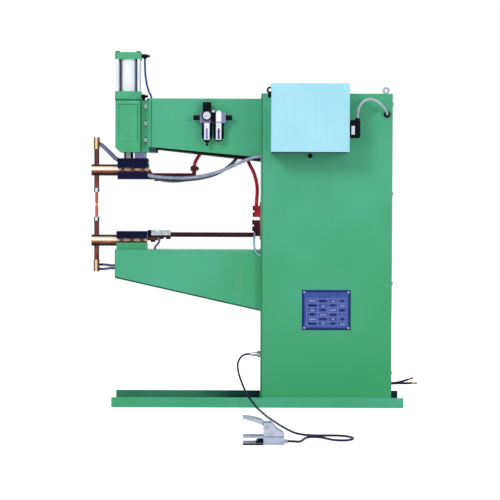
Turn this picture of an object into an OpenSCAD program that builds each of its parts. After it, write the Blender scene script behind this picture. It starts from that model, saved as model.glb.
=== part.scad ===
// Pneumatic long-arm spot welder with a foot switch, as a floor-standing machine.
// Millimetres. +Z is up, +X runs from the electrodes to the column, and +Y to the rear side.
// The origin is on the floor, in the middle of the four anchor holes.

/* [Base] */
// Length of the two base rails
base_l = 1164; // [1120:2:1400]
// Width over the outer faces of the rails
base_w = 280; // [260:2:360]
// Height of a rail's standing leg
rail_h = 40; // [36:1:60]
// Width of a rail's foot leg
rail_foot = 50; // [45:1:60]
// Thickness of the rail angle
rail_t = 5; // [4:0.5:8]
// Diameter of the anchor holes
anchor_d = 14; // [10:0.5:18]
// Anchor hole to the end of the rail
anchor_inset = 22; // [20:1:30]
// Anchor hole to the outer face of the rail
anchor_gauge = 30; // [25:1:34]
// Width of a cross member
cross_w = 50; // [40:1:60]
// Thickness of a cross member
cross_t = 6; // [4:1:10]

/* [Column] */
// Left face of the column, from the middle of the base
column_x = 12; // [0:1:40]
// Width of the column
column_w = 518; // [480:1:530]
// Height of the column's top above the floor
column_top = 1250; // [1245:1:1520]
// Thickness of the column sheet
sheet_t = 3; // [2:0.5:5]
// Outer radius of the folded corners
column_r = 12; // [8:1:16]
// Width of the flanges that take the cover
cover_flange = 32; // [26:1:45]
// Thickness of the rear cover
cover_t = 3; // [2:0.5:5]
// Top of the shelf that carries the transformer
shelf_z = 550; // [500:5:580]
// Thickness of the shelf
shelf_t = 6; // [4:1:10]

/* [Arms] */
// Width of both arms
arm_w = 180; // [160:2:216]
// Plate thickness of both arms
arm_t = 6; // [4:1:8]
// Length of the upper arm from the column
upper_arm_l = 439; // [400:1:540]
// Top of the upper arm above the floor
upper_arm_top = 1231; // [1228:1:1250]
// Height of the upper arm at its end plate
upper_arm_tip_h = 199; // [190:1:215]
// Height of the upper arm at the column
upper_arm_root_h = 248; // [240:1:260]
// Thickness of the upper arm's end plate
end_plate_t = 9; // [6:1:14]
// Length of the lower arm from the column
lower_arm_l = 584; // [580:1:680]
// Top of the lower arm above the floor
lower_arm_top = 626; // [600:1:640]
// Height of the lower arm at its free end
lower_arm_tip_h = 113; // [100:1:150]
// Height of the lower arm at the column
lower_arm_root_h = 244; // [200:1:300]

/* [Head] */
// Cylinder axis to the end of the upper arm
ram_reach = 96; // [94:1:104]
// Width of the head casting along the machine
casting_w = 98; // [90:1:100]
// Depth of the head casting
casting_d = 130; // [110:2:150]
// Underside of the head casting above the floor
casting_bottom = 1017; // [1015:1:1022]
// Top of the head casting above the floor
casting_top = 1226; // [1200:1:1234]
// Depth of the casting's neck
neck_d = 90; // [80:2:96]
// Thickness of the casting's flange
flange_t = 10; // [8:1:14]
// Width of the flange and of the arm's end plate
flange_w = 156; // [150:2:170]
// Thread size of the head bolts
head_bolt_d = 14; // [10:1:16]

/* [Air cylinder] */
// Side of the two square caps
cap_s = 104; // [100:1:110]
// Height of the bottom cap
cap_h = 35; // [30:1:45]
// Height of the top cap
top_cap_h = 26; // [20:1:40]
// Length of the cylinder tube between the caps
tube_h = 131; // [110:1:160]
// Outer diameter of the cylinder tube
tube_d = 76; // [66:1:82]
// Wall of the cylinder tube
tube_wall = 3; // [2:0.5:5]
// Diameter of the tie rods
tie_d = 10; // [8:0.5:11]
// Centre distance of the tie rods
tie_pitch = 84; // [84:1:90]
// Diameter of the piston rod
rod_d = 38; // [30:0.2:46]
// Thickness of the piston
piston_h = 30; // [20:1:40]
// Piston above the bottom cap when the electrodes meet
piston_lift = 14; // [5:1:30]

/* [Ram] */
// Metal between the rod's bore and the guide slot
guide_wall = 6; // [5:0.5:8]
// Width of the guide bar along the machine
guide_w = 48; // [40:1:50]
// Depth of the guide bar
guide_d = 36; // [30:1:50]
// Length of the guide bar above the clamp
guide_l = 200; // [150:5:215]
// Gap between the casting and the clamp when the electrodes meet
ram_gap = 24; // [22:1:28]
// Length of both clamps along the machine
clamp_l = 122; // [116:1:126]
// Depth of both clamps
clamp_d = 94; // [88:1:110]
// Height of the clamp halves
clamp_h = 28; // [24:1:34]
// Height of the clamp caps
clamp_cap_h = 28; // [24:1:34]
// Thickness of the clamp's top plate
clamp_plate_t = 10; // [6:1:14]
// Height of the pad under the lower clamp
pad_h = 27; // [20:1:32]
// Free gap between the clamp halves
clamp_gap = 18; // [12:1:22]
// Thread size of the clamp bolts
clamp_bolt_d = 12; // [10:1:12]
// Pitch of the clamp bolts along the clamp
clamp_bolt_pitch = 41; // [36:1:42]
// Distance of the two bolt rows across the clamp
clamp_bolt_rows = 70; // [68:1:72]

/* [Electrodes] */
// Diameter of the copper arms
copper_d = 46; // [40:0.2:56]
// Electrode axis to the ram axis
electrode_reach = 129; // [110:1:140]
// Copper past the electrode axis
copper_end = 20; // [18:1:30]
// Height where the tips meet
weld_z = 807; // [795:1:820]
// Diameter of the electrode holders
holder_d = 20; // [16:1:22]
// Diameter of the holders' brass heads
head_d = 24; // [22:1:28]
// Length of the holders' brass heads
head_h = 47; // [40:1:60]
// Length of a holder
holder_l = 221; // [205:1:240]
// Diameter of the tips
tip_d = 12; // [10:0.5:14]
// Free length of a tip
tip_l = 50; // [45:1:55]
// Diameter of the tip's contact face
tip_face = 6; // [4:0.5:8]

/* [Conductors] */
// Height of the upper conductor bar
bar_h = 14; // [10:1:16]
// Width of the conductor bars and shunt
bar_w = 40; // [30:1:44]
// Length of the upper conductor bar
bar_l = 173; // [150:1:185]
// Height of the bar's upturned lug
lug_h = 46; // [40:1:60]
// Thickness of the bar's upturned lug
lug_t = 16; // [10:1:20]
// Diameter of the lower conductor rod
conductor_d = 19; // [14:1:24]
// Length of the laminated shunt
shunt_l = 92; // [88:1:110]
// Height of the laminated shunt
shunt_h = 30; // [24:1:36]
// Diameter of the flexible upper conductor
flex_d = 14; // [10:1:18]
// Diameter of the cooling hoses
hose_d = 10; // [8:1:12]
// Height of a secondary terminal
terminal_h = 46; // [40:1:50]

/* [Control box] */
// Left side of the box from the column's left face
box_inset = 37; // [20:1:60]
// Width of the box
box_w = 304; // [260:1:330]
// Height of the box
box_h = 266; // [240:1:320]
// Depth of the box
box_d = 160; // [140:1:200]
// Underside of the box above the floor
box_z = 1014; // [980:1:1040]
// Sheet of the box
box_t = 2; // [1.5:0.5:3]
// Diameter of the panel knob
panel_knob_d = 26; // [20:1:32]
// Length of the panel knob
panel_knob_l = 12; // [10:1:20]

/* [Air set] */
// Middle of the air set from the end of the upper arm
frl_offset = 246; // [200:1:280]
// Height of the air line's axis
frl_z = 1153; // [1140:1:1165]
// Length of the air set's body
frl_l = 102; // [96:1:120]
// Depth of the air set's body
frl_d = 36; // [34:1:44]
// Height of the air set's body
frl_h = 42; // [36:1:50]
// Centre distance of the two bowls
bowl_pitch = 47; // [44:1:54]
// Diameter of the bowls
bowl_d = 36; // [32:1:40]
// Length of the bowls
bowl_h = 74; // [60:1:84]
// Length of an end fitting
fitting_l = 26; // [20:1:34]
// Diameter of the air inlet's bore
inlet_d = 11; // [8:0.5:13]
// Diameter of the regulator knob
knob_d = 34; // [28:1:40]
// Diameter of the pressure gauge
gauge_d = 40; // [36:1:44]

/* [Foot switch] */
// Length of the foot switch
switch_l = 142; // [130:1:160]
// Width of the foot switch
switch_w = 80; // [70:1:90]
// Height of the treadle's pivot
pivot_z = 62; // [56:1:70]
// Diameter of the treadle's pin
pivot_d = 8; // [6:1:10]

/* [Hidden] */
$fn = 48;

// Clearances: a bolt in its hole, a turning shaft, a sliding flat, and a clamped round
bolt_play = 0.25;
shaft_play = 0.05;
slide_play = 0.3;
clamp_play = 0.1;
// A cut that reaches past a face
past = 1;

// Colours of the finishes
green = [0.24, 0.58, 0.39];
black = [0.1, 0.1, 0.11];
steel = [0.72, 0.73, 0.75];
copper = [0.72, 0.43, 0.26];
brass = [0.76, 0.6, 0.3];
pale_blue = [0.68, 0.86, 0.93];
hose_grey = [0.6, 0.62, 0.65];
alloy = [0.8, 0.81, 0.82];

// Base and column
rail_in = base_w / 2 - rail_t;
column_d = 2 * rail_in;
column_front = -rail_in;
column_right = column_x + column_w;
cover_face = column_right + cover_t;
cross_places = [-505, -60];
cover_screw_y = rail_in - sheet_t - cover_flange / 2;
cover_screw_z = [for (i = [0:3]) column_top - 40 - i * (column_top - 180) / 3];
cover_screw_d = 8;
eye_places = [column_x + 36, column_right - 13];
eye_r = 10.5;
eye_wire = 8;
eye_shank_d = 12;
eye_rise = 21;

// Head and ram
arm_end_x = column_x - upper_arm_l;
plate_x = arm_end_x - end_plate_t;
flange_x = plate_x - flange_t;
ram_x = arm_end_x - ram_reach;
casting_x0 = ram_x - casting_w / 2;
casting_x1 = ram_x + casting_w / 2;
upper_arm_tip_z = upper_arm_top - upper_arm_tip_h;
head_bolt_z = [for (i = [-1:1]) (casting_bottom + casting_top) / 2 + 10 + i * 67];
head_bolt_y = (neck_d / 2 + flange_w / 2) / 2;
cap_z = casting_top;
tube_z = cap_z + cap_h;
top_cap_z = tube_z + tube_h;
tie_nut_h = 4;
bore_d = tube_d - 2 * tube_wall;
piston_z = tube_z + piston_lift;
guide_x0 = ram_x + rod_d / 2 + guide_wall;
clamp_top = casting_bottom - ram_gap;
block_z = clamp_top - clamp_plate_t - clamp_h;
upper_axis_z = block_z - clamp_gap / 2;
upper_cap_z = upper_axis_z - clamp_gap / 2 - clamp_cap_h;
upper_clamp_x = ram_x - 42;
clamp_sink = clamp_bolt_d + 1;
spigot_d = 20;
spigot_l = 18;
stroke = ram_gap - 4;
flex_slots = [-232, -44];
arm_lip_l = 19;
flex_slot_l = 44;
flex_slot_w = 28;

// Lower electrode
lower_axis_z = lower_arm_top + pad_h + clamp_gap / 2;
lower_cap_z = lower_axis_z + clamp_gap / 2;
lower_clamp_x = ram_x - 46;
lower_arm_x = column_x - lower_arm_l;

// Electrodes
electrode_x = ram_x - electrode_reach;
ferrule_h = 16;
ferrule_d = holder_d + 2;
tip_shank_d = 9;
tip_shank_l = 14;
tip_clear = 0.3;
nipple_d = 9;
nipple_l = 23;
upper_nipple = 12.5;
nipple_dip = 43;
lower_nipples = [9.5, 27.5];
holder_top = weld_z + tip_l + holder_l;
holder_bottom = weld_z - tip_l - holder_l;

// Secondary circuit
tongue_t = 12;
tongue_w = 30;
neck_l = 18;
bar_x = upper_clamp_x + clamp_l + neck_l + 2;
tongue_z = upper_axis_z - tongue_t;
bar_bolt_d = 10;
shunt_x = lower_clamp_x + clamp_l + 3;
shunt_z = lower_axis_z + tongue_t;
conductor_z = shunt_z + shunt_h / 2 - 3;
terminal_x = -6;
terminal_w = 44;
lower_lug_t = 10;
upper_lug_t = 16;
lower_terminal_z = conductor_z - 5;
lower_terminal_h = 64;
upper_terminal_z = lower_terminal_z + lower_terminal_h + 13;
upper_terminal_x = terminal_x + 8;
board_t = 4;
board_margin = 14;
winding_x = 160;
core_x = 200;
core_w = 140;
core_d = 230;
core_h = 330;
core_limb = 60;
core_window_w = 40;
core_window_z = 50;
winding_gap = 1;

// Control box and air set
box_x = column_x + box_inset;
box_front = column_front - box_d;
box_knob_z = box_z + box_h - 40;
box_mid_y = column_front - box_d / 2;
tab_x = box_x + 157;
tab_w = 40;
tab_h = 24;
tab_bolt_d = 10;
plate_w = 194;
plate_h = 160;
plate_t = 1.5;
nameplate_x = column_x + 164;
nameplate_z = 310;
plate_rivet_inset = 9;
frl_x = arm_end_x + frl_offset;
frl_y = -arm_w / 2 - 14 - frl_d / 2;
frl_top = frl_z + frl_h / 2;
frl_bottom = frl_z - frl_h / 2;
filter_x = frl_x - bowl_pitch / 2;
oiler_x = frl_x + bowl_pitch / 2;
bowl_wall = 4;
drain_d = 10;
drain_collar_h = 5;
drain_stem_d = 5;
drain_rise = 4;
knob_h = 36;
stem_d = 18;
stem_h = 12;
gauge_l = 18;
gauge_recess = 4;
gauge_bore = 2;

// Foot switch, standing on the floor in front of the base
switch_x = -60;
switch_y = -1179;
pivot_x = switch_x + 84;
hub_w = 40;
hub_d = 22;
switch_nub_l = 12;
switch_nub_z = 9;

// Air valves
valve_d = 16;
valve_screw_d = 10;
valve_shaft_d = 5;
upper_valve_z = top_cap_z + top_cap_h / 2 + 1;
lower_valve_z = cap_z + cap_h / 2;
valve_x = ram_x + cap_s / 2;
valve_drop_x = valve_x + 13;
valve_drop_l = 12;

// Routes of the hoses and cords: points chosen along each real run
air_hose_d = 8;
air_route = [
    [valve_drop_x, 0, upper_valve_z - valve_drop_l], [valve_drop_x, 0, 1376], [-456, 0, 1332], [-450, 0, 1292],
    [-442, 0, 1264], [-434, 0, 1248], [-431, 0, upper_arm_top]
];
drip_route = [
    [-397, -14, shunt_z], [-397, -14, 664], [-400, -14, 654], [-408, -14, 644], [-414, -14, 637],
    [-416, -14, lower_arm_top]
];
arm_side = -arm_w / 2;
return_route = [
    [-11, -terminal_w / 2, 692], [-11, -38, 692], [-13, arm_side + 24, 684], [-15, arm_side + 2, 665],
    [-14, arm_side - 9, 640], [-6, arm_side - 12, 616], [column_x, arm_side - 12, 604]
];
upper_hose_d = 14;
upper_hose_rest = upper_axis_z + (copper_d + hose_d) / 2;
upper_hose_route = [
    [electrode_x + nipple_l * cos(nipple_dip), 0, holder_top - upper_nipple - nipple_l * sin(nipple_dip)],
    [-620, 0, 1036], [-604, 0, 1021],
    [-590, 0, upper_hose_rest + 33], [-578, 0, upper_hose_rest + 21], [upper_clamp_x, 0, upper_hose_rest + 12]
];
flex_route = [
    [bar_x + bar_l - 7, 0, tongue_z - bar_h + lug_h], [-254, 0, 978], [-247, 0, 992], [-238, 0, 1006],
    [-228, 0, 1020], [-217, 0, 1036], [-202, 0, 1054], [-176, 0, 1074], [-134, 0, 1084], [-96, 0, 1076],
    [-66, 0, 1047], [-50, 0, 1010], [-36, 0, 975], [-18, 0, 940], [-8, 0, 908], [-3, 0, 876], [-3, 0, 850],
    [-5, 0, 828], [-6, 0, upper_terminal_z + terminal_h]
];
// One hose passes beside the arm, in the room that the column leaves there, and one goes up into the arm
water_hose_d = 13;
hose_room = (column_d - arm_w) / 2;
water_y = arm_side - hose_room * 2 / 9;
water_route_a = [
    [upper_clamp_x + clamp_l, -43, 926], [-425, -43, 922], [-385, -47, 917], [-334, -52, 914], [-284, -60, 915],
    [-234, -68, 920], [-184, -78, 931], [-134, water_y + 12, 948], [-74, water_y + 3, 975],
    [-25, water_y, 995], [column_x, water_y, 1000]
];
arm_slope = (upper_arm_root_h - upper_arm_tip_h) / upper_arm_l;
arm_port_x = -86;
water_route_b = [
    [upper_clamp_x + clamp_l, -29, 926], [-425, -29, 918], [-385, -31, 906], [-334, -34, 902], [-284, -37, 907],
    [-234, -42, 913], [-184, -46, 925], [-150, -48, 940], [-120, -50, 960], [-98, -50, 980],
    [arm_port_x, -50, upper_arm_tip_z - arm_slope * (arm_port_x - arm_end_x)]
];
control_cable_d = 10;
cable_port_x = column_right - 20;
cable_port_z = 1168;
port_d = 14;
grommet_h = 8;
grommet_d = 26;
control_route = [
    [388, box_mid_y, 1149], [389, box_mid_y, 1167], [393, box_mid_y + 1, 1187], [405, box_mid_y + 3, 1208],
    [424, box_mid_y + 7, 1221], [445, box_mid_y + 11, 1224], [466, box_mid_y + 16, 1216],
    [484, box_mid_y + 23, 1202], [498, box_mid_y + 33, 1187], [506, box_mid_y + 47, 1176],
    [509, column_front - 20, 1170], [cable_port_x, column_front - grommet_h, cable_port_z]
];
mains_d = 9;
mains_port_y = -34;
mains_port_z = 88;
mains_port_d = 22;
mains_grommet_d = 40;
mains_route_a = [
    [cover_face + grommet_h, -42, 90], [555, -42, 91], [572, -43, 94], [590, -44, 99], [608, -45, 105],
    [629, -46, 112]
];
mains_route_b = [
    [cover_face + grommet_h, -26, 87], [556, -26, 87], [576, -27, 88], [598, -28, 88], [620, -29, 89],
    [646, -30, 89]
];
pedal_cord_d = 8;
pedal_exit_y = -60;
pedal_exit_z = 207;
pedal_gland_l = 40;
pedal_route = [
    [column_x - pedal_gland_l, pedal_exit_y, pedal_exit_z], [-42, -60, 207], [-59, -62, 201], [-72, -66, 187],
    [-79, -72, 166], [-77, -82, 142], [-70, -100, 117], [-60, -125, 93], [-48, -155, 68], [-36, -187, 49],
    [-20, -217, 31], [-4, -255, 15], [14, -311, 5], [33, -450, 4], [53, -572, 4], [80, -724, 4], [103, -835, 4],
    [128, -928, 4], [160, -977, 4],
    [198, -992, 4], [236, -992, 4], [274, -994, 4], [304, -1012, 4], [322, -1045, 4], [320, -1085, 4],
    [298, -1115, 4], [268, -1116, 4], [246, -1098, 4], [228, -1064, 4], [208, -1038, 4], [182, -1032, 4],
    [162, -1052, 4], [152, -1090, 4], [144, -1130, 4], [132, -1160, 5], [114, -1176, 8],
    [switch_x + switch_l + switch_nub_l, switch_y, switch_nub_z]
];

// Helpers

function unit(v) = v / norm(v);

// A point of a smooth curve between b and c, with a and d as its neighbours
function curve_point(a, b, c, d, t) =
    0.5 * (2 * b + (c - a) * t + (2 * a - 5 * b + 4 * c - d) * t * t + (3 * b - a - 3 * c + d) * t * t * t);

// A route with steps points in each stretch between its own points
function smooth(route, steps) = concat(
    [
        for (i = [0:len(route) - 2], k = [0:steps - 1])
            let (before = route[max(i - 1, 0)], after = route[min(i + 2, len(route) - 1)])
            curve_point(before, route[i], route[i + 1], after, k / steps)
    ],
    [route[len(route) - 1]]
);

// Direction of a path at each of its points, square to the end faces
function headings(path) = [
    for (i = [0:len(path) - 1])
        i == 0 ? unit(path[1] - path[0])
        : i == len(path) - 1 ? unit(path[i] - path[i - 1])
        : unit(path[i + 1] - path[i - 1])
];

// Side directions that follow the path without twist
function sides_of(heads, i, last) =
    i == len(heads) ? [] :
    let (side = unit(last - (last * heads[i]) * heads[i]))
    concat([side], sides_of(heads, i + 1, side));

// A round tube along a route; first and last give the directions square to its end faces
module tube_along(route, d, steps, first, last, sides = 10) {
    path = smooth(route, steps);
    rings = len(path);
    free_heads = headings(path);
    heads = [for (i = [0:rings - 1]) i == 0 ? first : i == rings - 1 ? last : free_heads[i]];
    start_side = abs(first[1]) > 0.9 ? [1, 0, 0] : [0, 1, 0];
    across = sides_of(heads, 0, start_side);
    points = [
        for (i = [0:rings - 1], j = [0:sides - 1])
            let (a = 360 * j / sides)
            path[i] + d / 2 * (cos(a) * across[i] + sin(a) * cross(heads[i], across[i]))
    ];
    walls = [
        for (i = [0:rings - 2], j = [0:sides - 1])
            let (k = (j + 1) % sides, low = i * sides, high = low + sides)
            each [[low + j, high + k, low + k], [low + j, high + j, high + k]]
    ];
    end = (rings - 1) * sides;
    caps = [for (j = [1:sides - 2]) each [[0, j, j + 1], [end, end + j + 1, end + j]]];
    polyhedron(points, concat(walls, caps));
}

// A box between two corners
module block(low, high) {
    translate(low) cube(high - low);
}

// Round bars along X, Y and Z
module rod_x(d, x0, x1, y, z) {
    translate([x0, y, z]) rotate([0, 90, 0]) cylinder(d = d, h = x1 - x0);
}

module rod_y(d, y0, y1, x, z) {
    translate([x, y1, z]) rotate([90, 0, 0]) cylinder(d = d, h = y1 - y0);
}

module rod_z(d, z0, z1, x, y) {
    translate([x, y, z0]) cylinder(d = d, h = z1 - z0);
}

// An outline in X and Z, as thick as y0 to y1
module side_plate(outline, y0, y1) {
    translate([0, y1, 0]) rotate([90, 0, 0]) linear_extrude(y1 - y0) polygon(outline);
}

// A square with round corners, in the plane
module round_square(size, r) {
    translate([r, 0]) square([size[0] - 2 * r, size[1]]);
    translate([0, r]) square([size[0], size[1] - 2 * r]);
    for (x = [r, size[0] - r], y = [r, size[1] - r]) translate([x, y]) circle(r);
}

// A socket screw: its head's underside is at the origin and its shank points down
module socket_bolt(d, l) {
    difference() {
        cylinder(d = 1.5 * d, h = d);
        translate([0, 0, d / 2]) cylinder(d = 0.95 * d, h = d, $fn = 6);
    }
    translate([0, 0, -l]) cylinder(d = d, h = l);
}

// A hexagon-headed bolt, placed as the socket screw is
module hex_bolt(d, l) {
    cylinder(d = 1.9 * d, h = 0.65 * d, $fn = 6);
    translate([0, 0, -l]) cylinder(d = d, h = l);
}

// Every place of a rectangle's corners in the plane
module at_corners(x, y) {
    for (sx = [-1, 1], sy = [-1, 1]) translate([sx * x / 2, sy * y / 2, 0]) children();
}

// Base and column

// A rail is an angle: its standing leg is outside and its foot leg carries the anchor holes
module rail() {
    difference() {
        union() {
            block([-base_l / 2, -base_w / 2, 0], [base_l / 2, -rail_in, rail_h]);
            block([-base_l / 2, -base_w / 2, 0], [base_l / 2, rail_foot - base_w / 2, rail_t]);
        }
        for (s = [-1, 1])
            rod_z(anchor_d, -past, rail_t + past, s * (base_l / 2 - anchor_inset), anchor_gauge - base_w / 2);
    }
}

module base_front_rail() {
    color(green) rail();
}

module base_rear_rail() {
    color(green) mirror([0, 1, 0]) rail();
}

module base_cross_members() {
    color(green)
        for (x = cross_places)
            block([x - cross_w / 2, -rail_in, rail_t], [x + cross_w / 2, rail_in, rail_t + cross_t]);
}

// Plan of the column: round folds on the left, square on the right
module column_plan(inset) {
    size = [column_w - 2 * inset, column_d - 2 * inset];
    translate([column_x + inset, inset - rail_in]) {
        round_square(size, column_r - inset);
        translate([size[0] / 2, 0]) square([size[0] / 2, size[1]]);
    }
}

module column_shell() {
    opening = column_d - 2 * sheet_t - 2 * cover_flange;
    color(green)
        difference() {
            union() {
                difference() {
                    translate([0, 0, rail_t]) linear_extrude(column_top - rail_t) column_plan(0);
                    translate([0, 0, rail_t - past])
                        linear_extrude(column_top - rail_t - sheet_t + past) column_plan(sheet_t);
                }
                translate([0, 0, shelf_z - shelf_t]) linear_extrude(shelf_t) column_plan(sheet_t);
            }
            block(
                [column_right - sheet_t - past, -opening / 2, rail_t - past],
                [column_right + past, opening / 2, column_top - sheet_t - cover_flange]
            );
            cover_screw_holes(column_right - sheet_t - past, column_right + past);
            for (x = eye_places)
                rod_z(eye_shank_d + 2 * bolt_play, column_top - sheet_t - past, column_top + past, x, 0);
            tab_hole();
            nameplate_holes();
            block(
                [column_x - past, -terminal_w / 2 - 3, lower_terminal_z - 3],
                [column_x + sheet_t + past, terminal_w / 2 + 3, upper_terminal_z + terminal_h + 3]
            );
            rod_x(port_d, column_x - past, column_x + sheet_t + past, pedal_exit_y, pedal_exit_z);
            rod_y(port_d, column_front - past, column_front + sheet_t + past, cable_port_x, cable_port_z);
        }
}

module cover_screw_holes(x0, x1) {
    for (y = [-1, 1], z = cover_screw_z)
        rod_x(cover_screw_d + 2 * bolt_play, x0, x1, y * cover_screw_y, z);
}

module tab_hole() {
    rod_y(
        tab_bolt_d + 2 * bolt_play, column_front - 2 * sheet_t, column_front + sheet_t + past, tab_x,
        box_z - tab_h / 2
    );
}

// Places of the nameplate's corners, as children on the column's front face
module at_nameplate_corners() {
    translate([nameplate_x + plate_w / 2, column_front, nameplate_z + plate_h / 2])
        rotate([90, 0, 0])
            at_corners(plate_w - 2 * plate_rivet_inset, plate_h - 2 * plate_rivet_inset) children();
}

module nameplate_holes() {
    at_nameplate_corners() translate([0, 0, -sheet_t - past]) cylinder(d = 4 + 2 * bolt_play, h = 10);
}

module rear_cover() {
    color(green)
        difference() {
            block([column_right, -rail_in, rail_t], [column_right + cover_t, rail_in, column_top]);
            cover_screw_holes(column_right - past, column_right + cover_t + past);
            rod_x(mains_port_d, column_right - past, column_right + cover_t + past, mains_port_y, mains_port_z);
        }
}

module sheet_screws() {
    color(steel) {
        for (y = [-1, 1], z = cover_screw_z)
            translate([column_right + cover_t, y * cover_screw_y, z])
                rotate([0, 90, 0]) hex_bolt(cover_screw_d, cover_t + sheet_t + 8);
        translate([tab_x, column_front - sheet_t, box_z - tab_h / 2])
            rotate([90, 0, 0]) hex_bolt(tab_bolt_d, sheet_t + 15);
        at_nameplate_corners() {
            translate([0, 0, plate_t]) cylinder(d = 8, h = 2);
            translate([0, 0, -sheet_t]) cylinder(d = 4, h = sheet_t + plate_t);
        }
    }
}

module lifting_eyes() {
    color(steel)
        for (x = eye_places)
            translate([x, 0, column_top]) {
                translate([0, 0, eye_rise]) rotate([90, 0, 0])
                    rotate_extrude() translate([eye_r, 0]) circle(d = eye_wire);
                cylinder(d = 20, h = 4);
                cylinder(d = eye_shank_d, h = eye_rise - eye_r);
                translate([0, 0, -sheet_t - 14]) cylinder(d = eye_shank_d, h = sheet_t + 14);
            }
}

module nameplate() {
    color([0.25, 0.35, 0.6])
        difference() {
            block(
                [nameplate_x, column_front - plate_t, nameplate_z],
                [nameplate_x + plate_w, column_front, nameplate_z + plate_h]
            );
            nameplate_holes();
        }
}

// Arms and head

module head_bolt_holes(x0, x1) {
    for (y = [-1, 1], z = head_bolt_z)
        rod_x(head_bolt_d + 2 * bolt_play, x0, x1, y * head_bolt_y, z);
}

// The end plate's lower edge is folded back under the arm as a lip
module upper_arm() {
    root_z = upper_arm_top - upper_arm_root_h;
    slope_t = arm_t * 1.01;
    color(green)
        difference() {
            union() {
                side_plate([
                    [arm_end_x, upper_arm_top], [column_x, upper_arm_top], [column_x, root_z],
                    [arm_end_x, upper_arm_tip_z]
                ], -arm_w / 2, arm_w / 2);
                block([plate_x, -arm_w / 2, casting_bottom], [arm_end_x, arm_w / 2, upper_arm_top]);
                block(
                    [plate_x, -arm_w / 2, casting_bottom],
                    [arm_end_x + arm_lip_l, arm_w / 2, upper_arm_tip_z + arm_t / 2]
                );
            }
            side_plate([
                [arm_end_x, upper_arm_top - arm_t], [column_x + past, upper_arm_top - arm_t],
                [column_x + past, root_z + slope_t], [arm_end_x, upper_arm_tip_z + slope_t]
            ], arm_t - arm_w / 2, arm_w / 2 - arm_t);
            head_bolt_holes(plate_x - past, arm_end_x + past);
            for (x = flex_slots)
                block(
                    [x - flex_slot_l / 2, -flex_slot_w / 2, root_z - 20],
                    [x + flex_slot_l / 2, flex_slot_w / 2, upper_arm_tip_z + 20]
                );
        }
}

module lower_arm() {
    tip_z = lower_arm_top - lower_arm_tip_h;
    root_z = lower_arm_top - lower_arm_root_h;
    slope_t = arm_t * 1.03;
    color(green)
        difference() {
            union() {
                side_plate([
                    [lower_arm_x, lower_arm_top], [column_x, lower_arm_top], [column_x, root_z],
                    [lower_arm_x, tip_z]
                ], -arm_w / 2, arm_w / 2);
                block(
                    [lower_clamp_x, -clamp_d / 2, lower_arm_top],
                    [lower_clamp_x + clamp_l, clamp_d / 2, lower_arm_top + pad_h]
                );
            }
            side_plate([
                [lower_arm_x + arm_t, lower_arm_top - arm_t], [column_x + past, lower_arm_top - arm_t],
                [column_x + past, root_z + slope_t], [lower_arm_x + arm_t, tip_z + slope_t]
            ], arm_t - arm_w / 2, arm_w / 2 - arm_t);
            copper_channel(lower_clamp_x, lower_axis_z);
            clamp_bolt_holes(lower_clamp_x, lower_arm_top + 3, lower_arm_top + pad_h + past);
        }
}

module head_casting() {
    slot_top = clamp_top + guide_l + stroke + 3;
    chamfer = 18;
    recess = 4;
    color(green)
        difference() {
            union() {
                side_plate([
                    [casting_x0, casting_bottom + chamfer], [casting_x0 + chamfer, casting_bottom],
                    [casting_x1, casting_bottom], [casting_x1, casting_top], [casting_x0, casting_top]
                ], -casting_d / 2, casting_d / 2);
                block([casting_x1, -neck_d / 2, casting_bottom], [flange_x, neck_d / 2, casting_top]);
                block([flange_x, -flange_w / 2, casting_bottom], [plate_x, flange_w / 2, upper_arm_top]);
            }
            rod_z(rod_d + 2 * shaft_play, casting_bottom - past, casting_top + past, ram_x, 0);
            block(
                [guide_x0 - slide_play, -guide_d / 2 - slide_play, casting_bottom - past],
                [guide_x0 + guide_w + slide_play, guide_d / 2 + slide_play, slot_top]
            );
            for (s = [0, 1])
                mirror([0, s, 0])
                    block(
                        [casting_x0 + 12, -casting_d / 2 - past, casting_bottom + 40],
                        [casting_x1 - 8, recess - casting_d / 2, casting_top - 16]
                    );
            head_bolt_holes(flange_x - past, plate_x + past);
        }
}

module head_bolts() {
    nut_h = 10;
    color(steel)
        for (y = [-1, 1], z = head_bolt_z)
            translate([flange_x, y * head_bolt_y, z]) rotate([0, -90, 0]) {
                hex_bolt(head_bolt_d, flange_t + end_plate_t + nut_h + 3);
                translate([0, 0, -flange_t - end_plate_t - nut_h])
                    cylinder(d = 1.8 * head_bolt_d, h = nut_h, $fn = 6);
            }
}

// Air cylinder

module at_tie_rods() {
    translate([ram_x, 0, 0]) at_corners(tie_pitch, tie_pitch) children();
}

module cap_block(z, h) {
    translate([ram_x - cap_s / 2, -cap_s / 2, z]) linear_extrude(h) round_square([cap_s, cap_s], 5);
}

module cylinder_bottom_cap() {
    color(steel)
        difference() {
            cap_block(cap_z, cap_h);
            rod_z(rod_d + 2 * shaft_play, cap_z - past, tube_z + past, ram_x, 0);
            at_tie_rods() rod_z(tie_d + 2 * bolt_play, tube_z - 20, tube_z + past, 0, 0);
        }
}

module cylinder_tube() {
    color(steel)
        difference() {
            rod_z(tube_d, tube_z, top_cap_z, ram_x, 0);
            rod_z(bore_d, tube_z - past, top_cap_z + past, ram_x, 0);
        }
}

module cylinder_top_cap() {
    color(steel)
        difference() {
            cap_block(top_cap_z, top_cap_h);
            at_tie_rods() rod_z(tie_d + 2 * bolt_play, top_cap_z - past, top_cap_z + top_cap_h + past, 0, 0);
        }
}

module tie_rods() {
    color(alloy)
        at_tie_rods() {
            rod_z(tie_d, tube_z - 20, top_cap_z + top_cap_h + tie_nut_h, 0, 0);
            translate([0, 0, top_cap_z + top_cap_h]) cylinder(d = 1.8 * tie_d, h = tie_nut_h, $fn = 6);
        }
}

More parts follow.
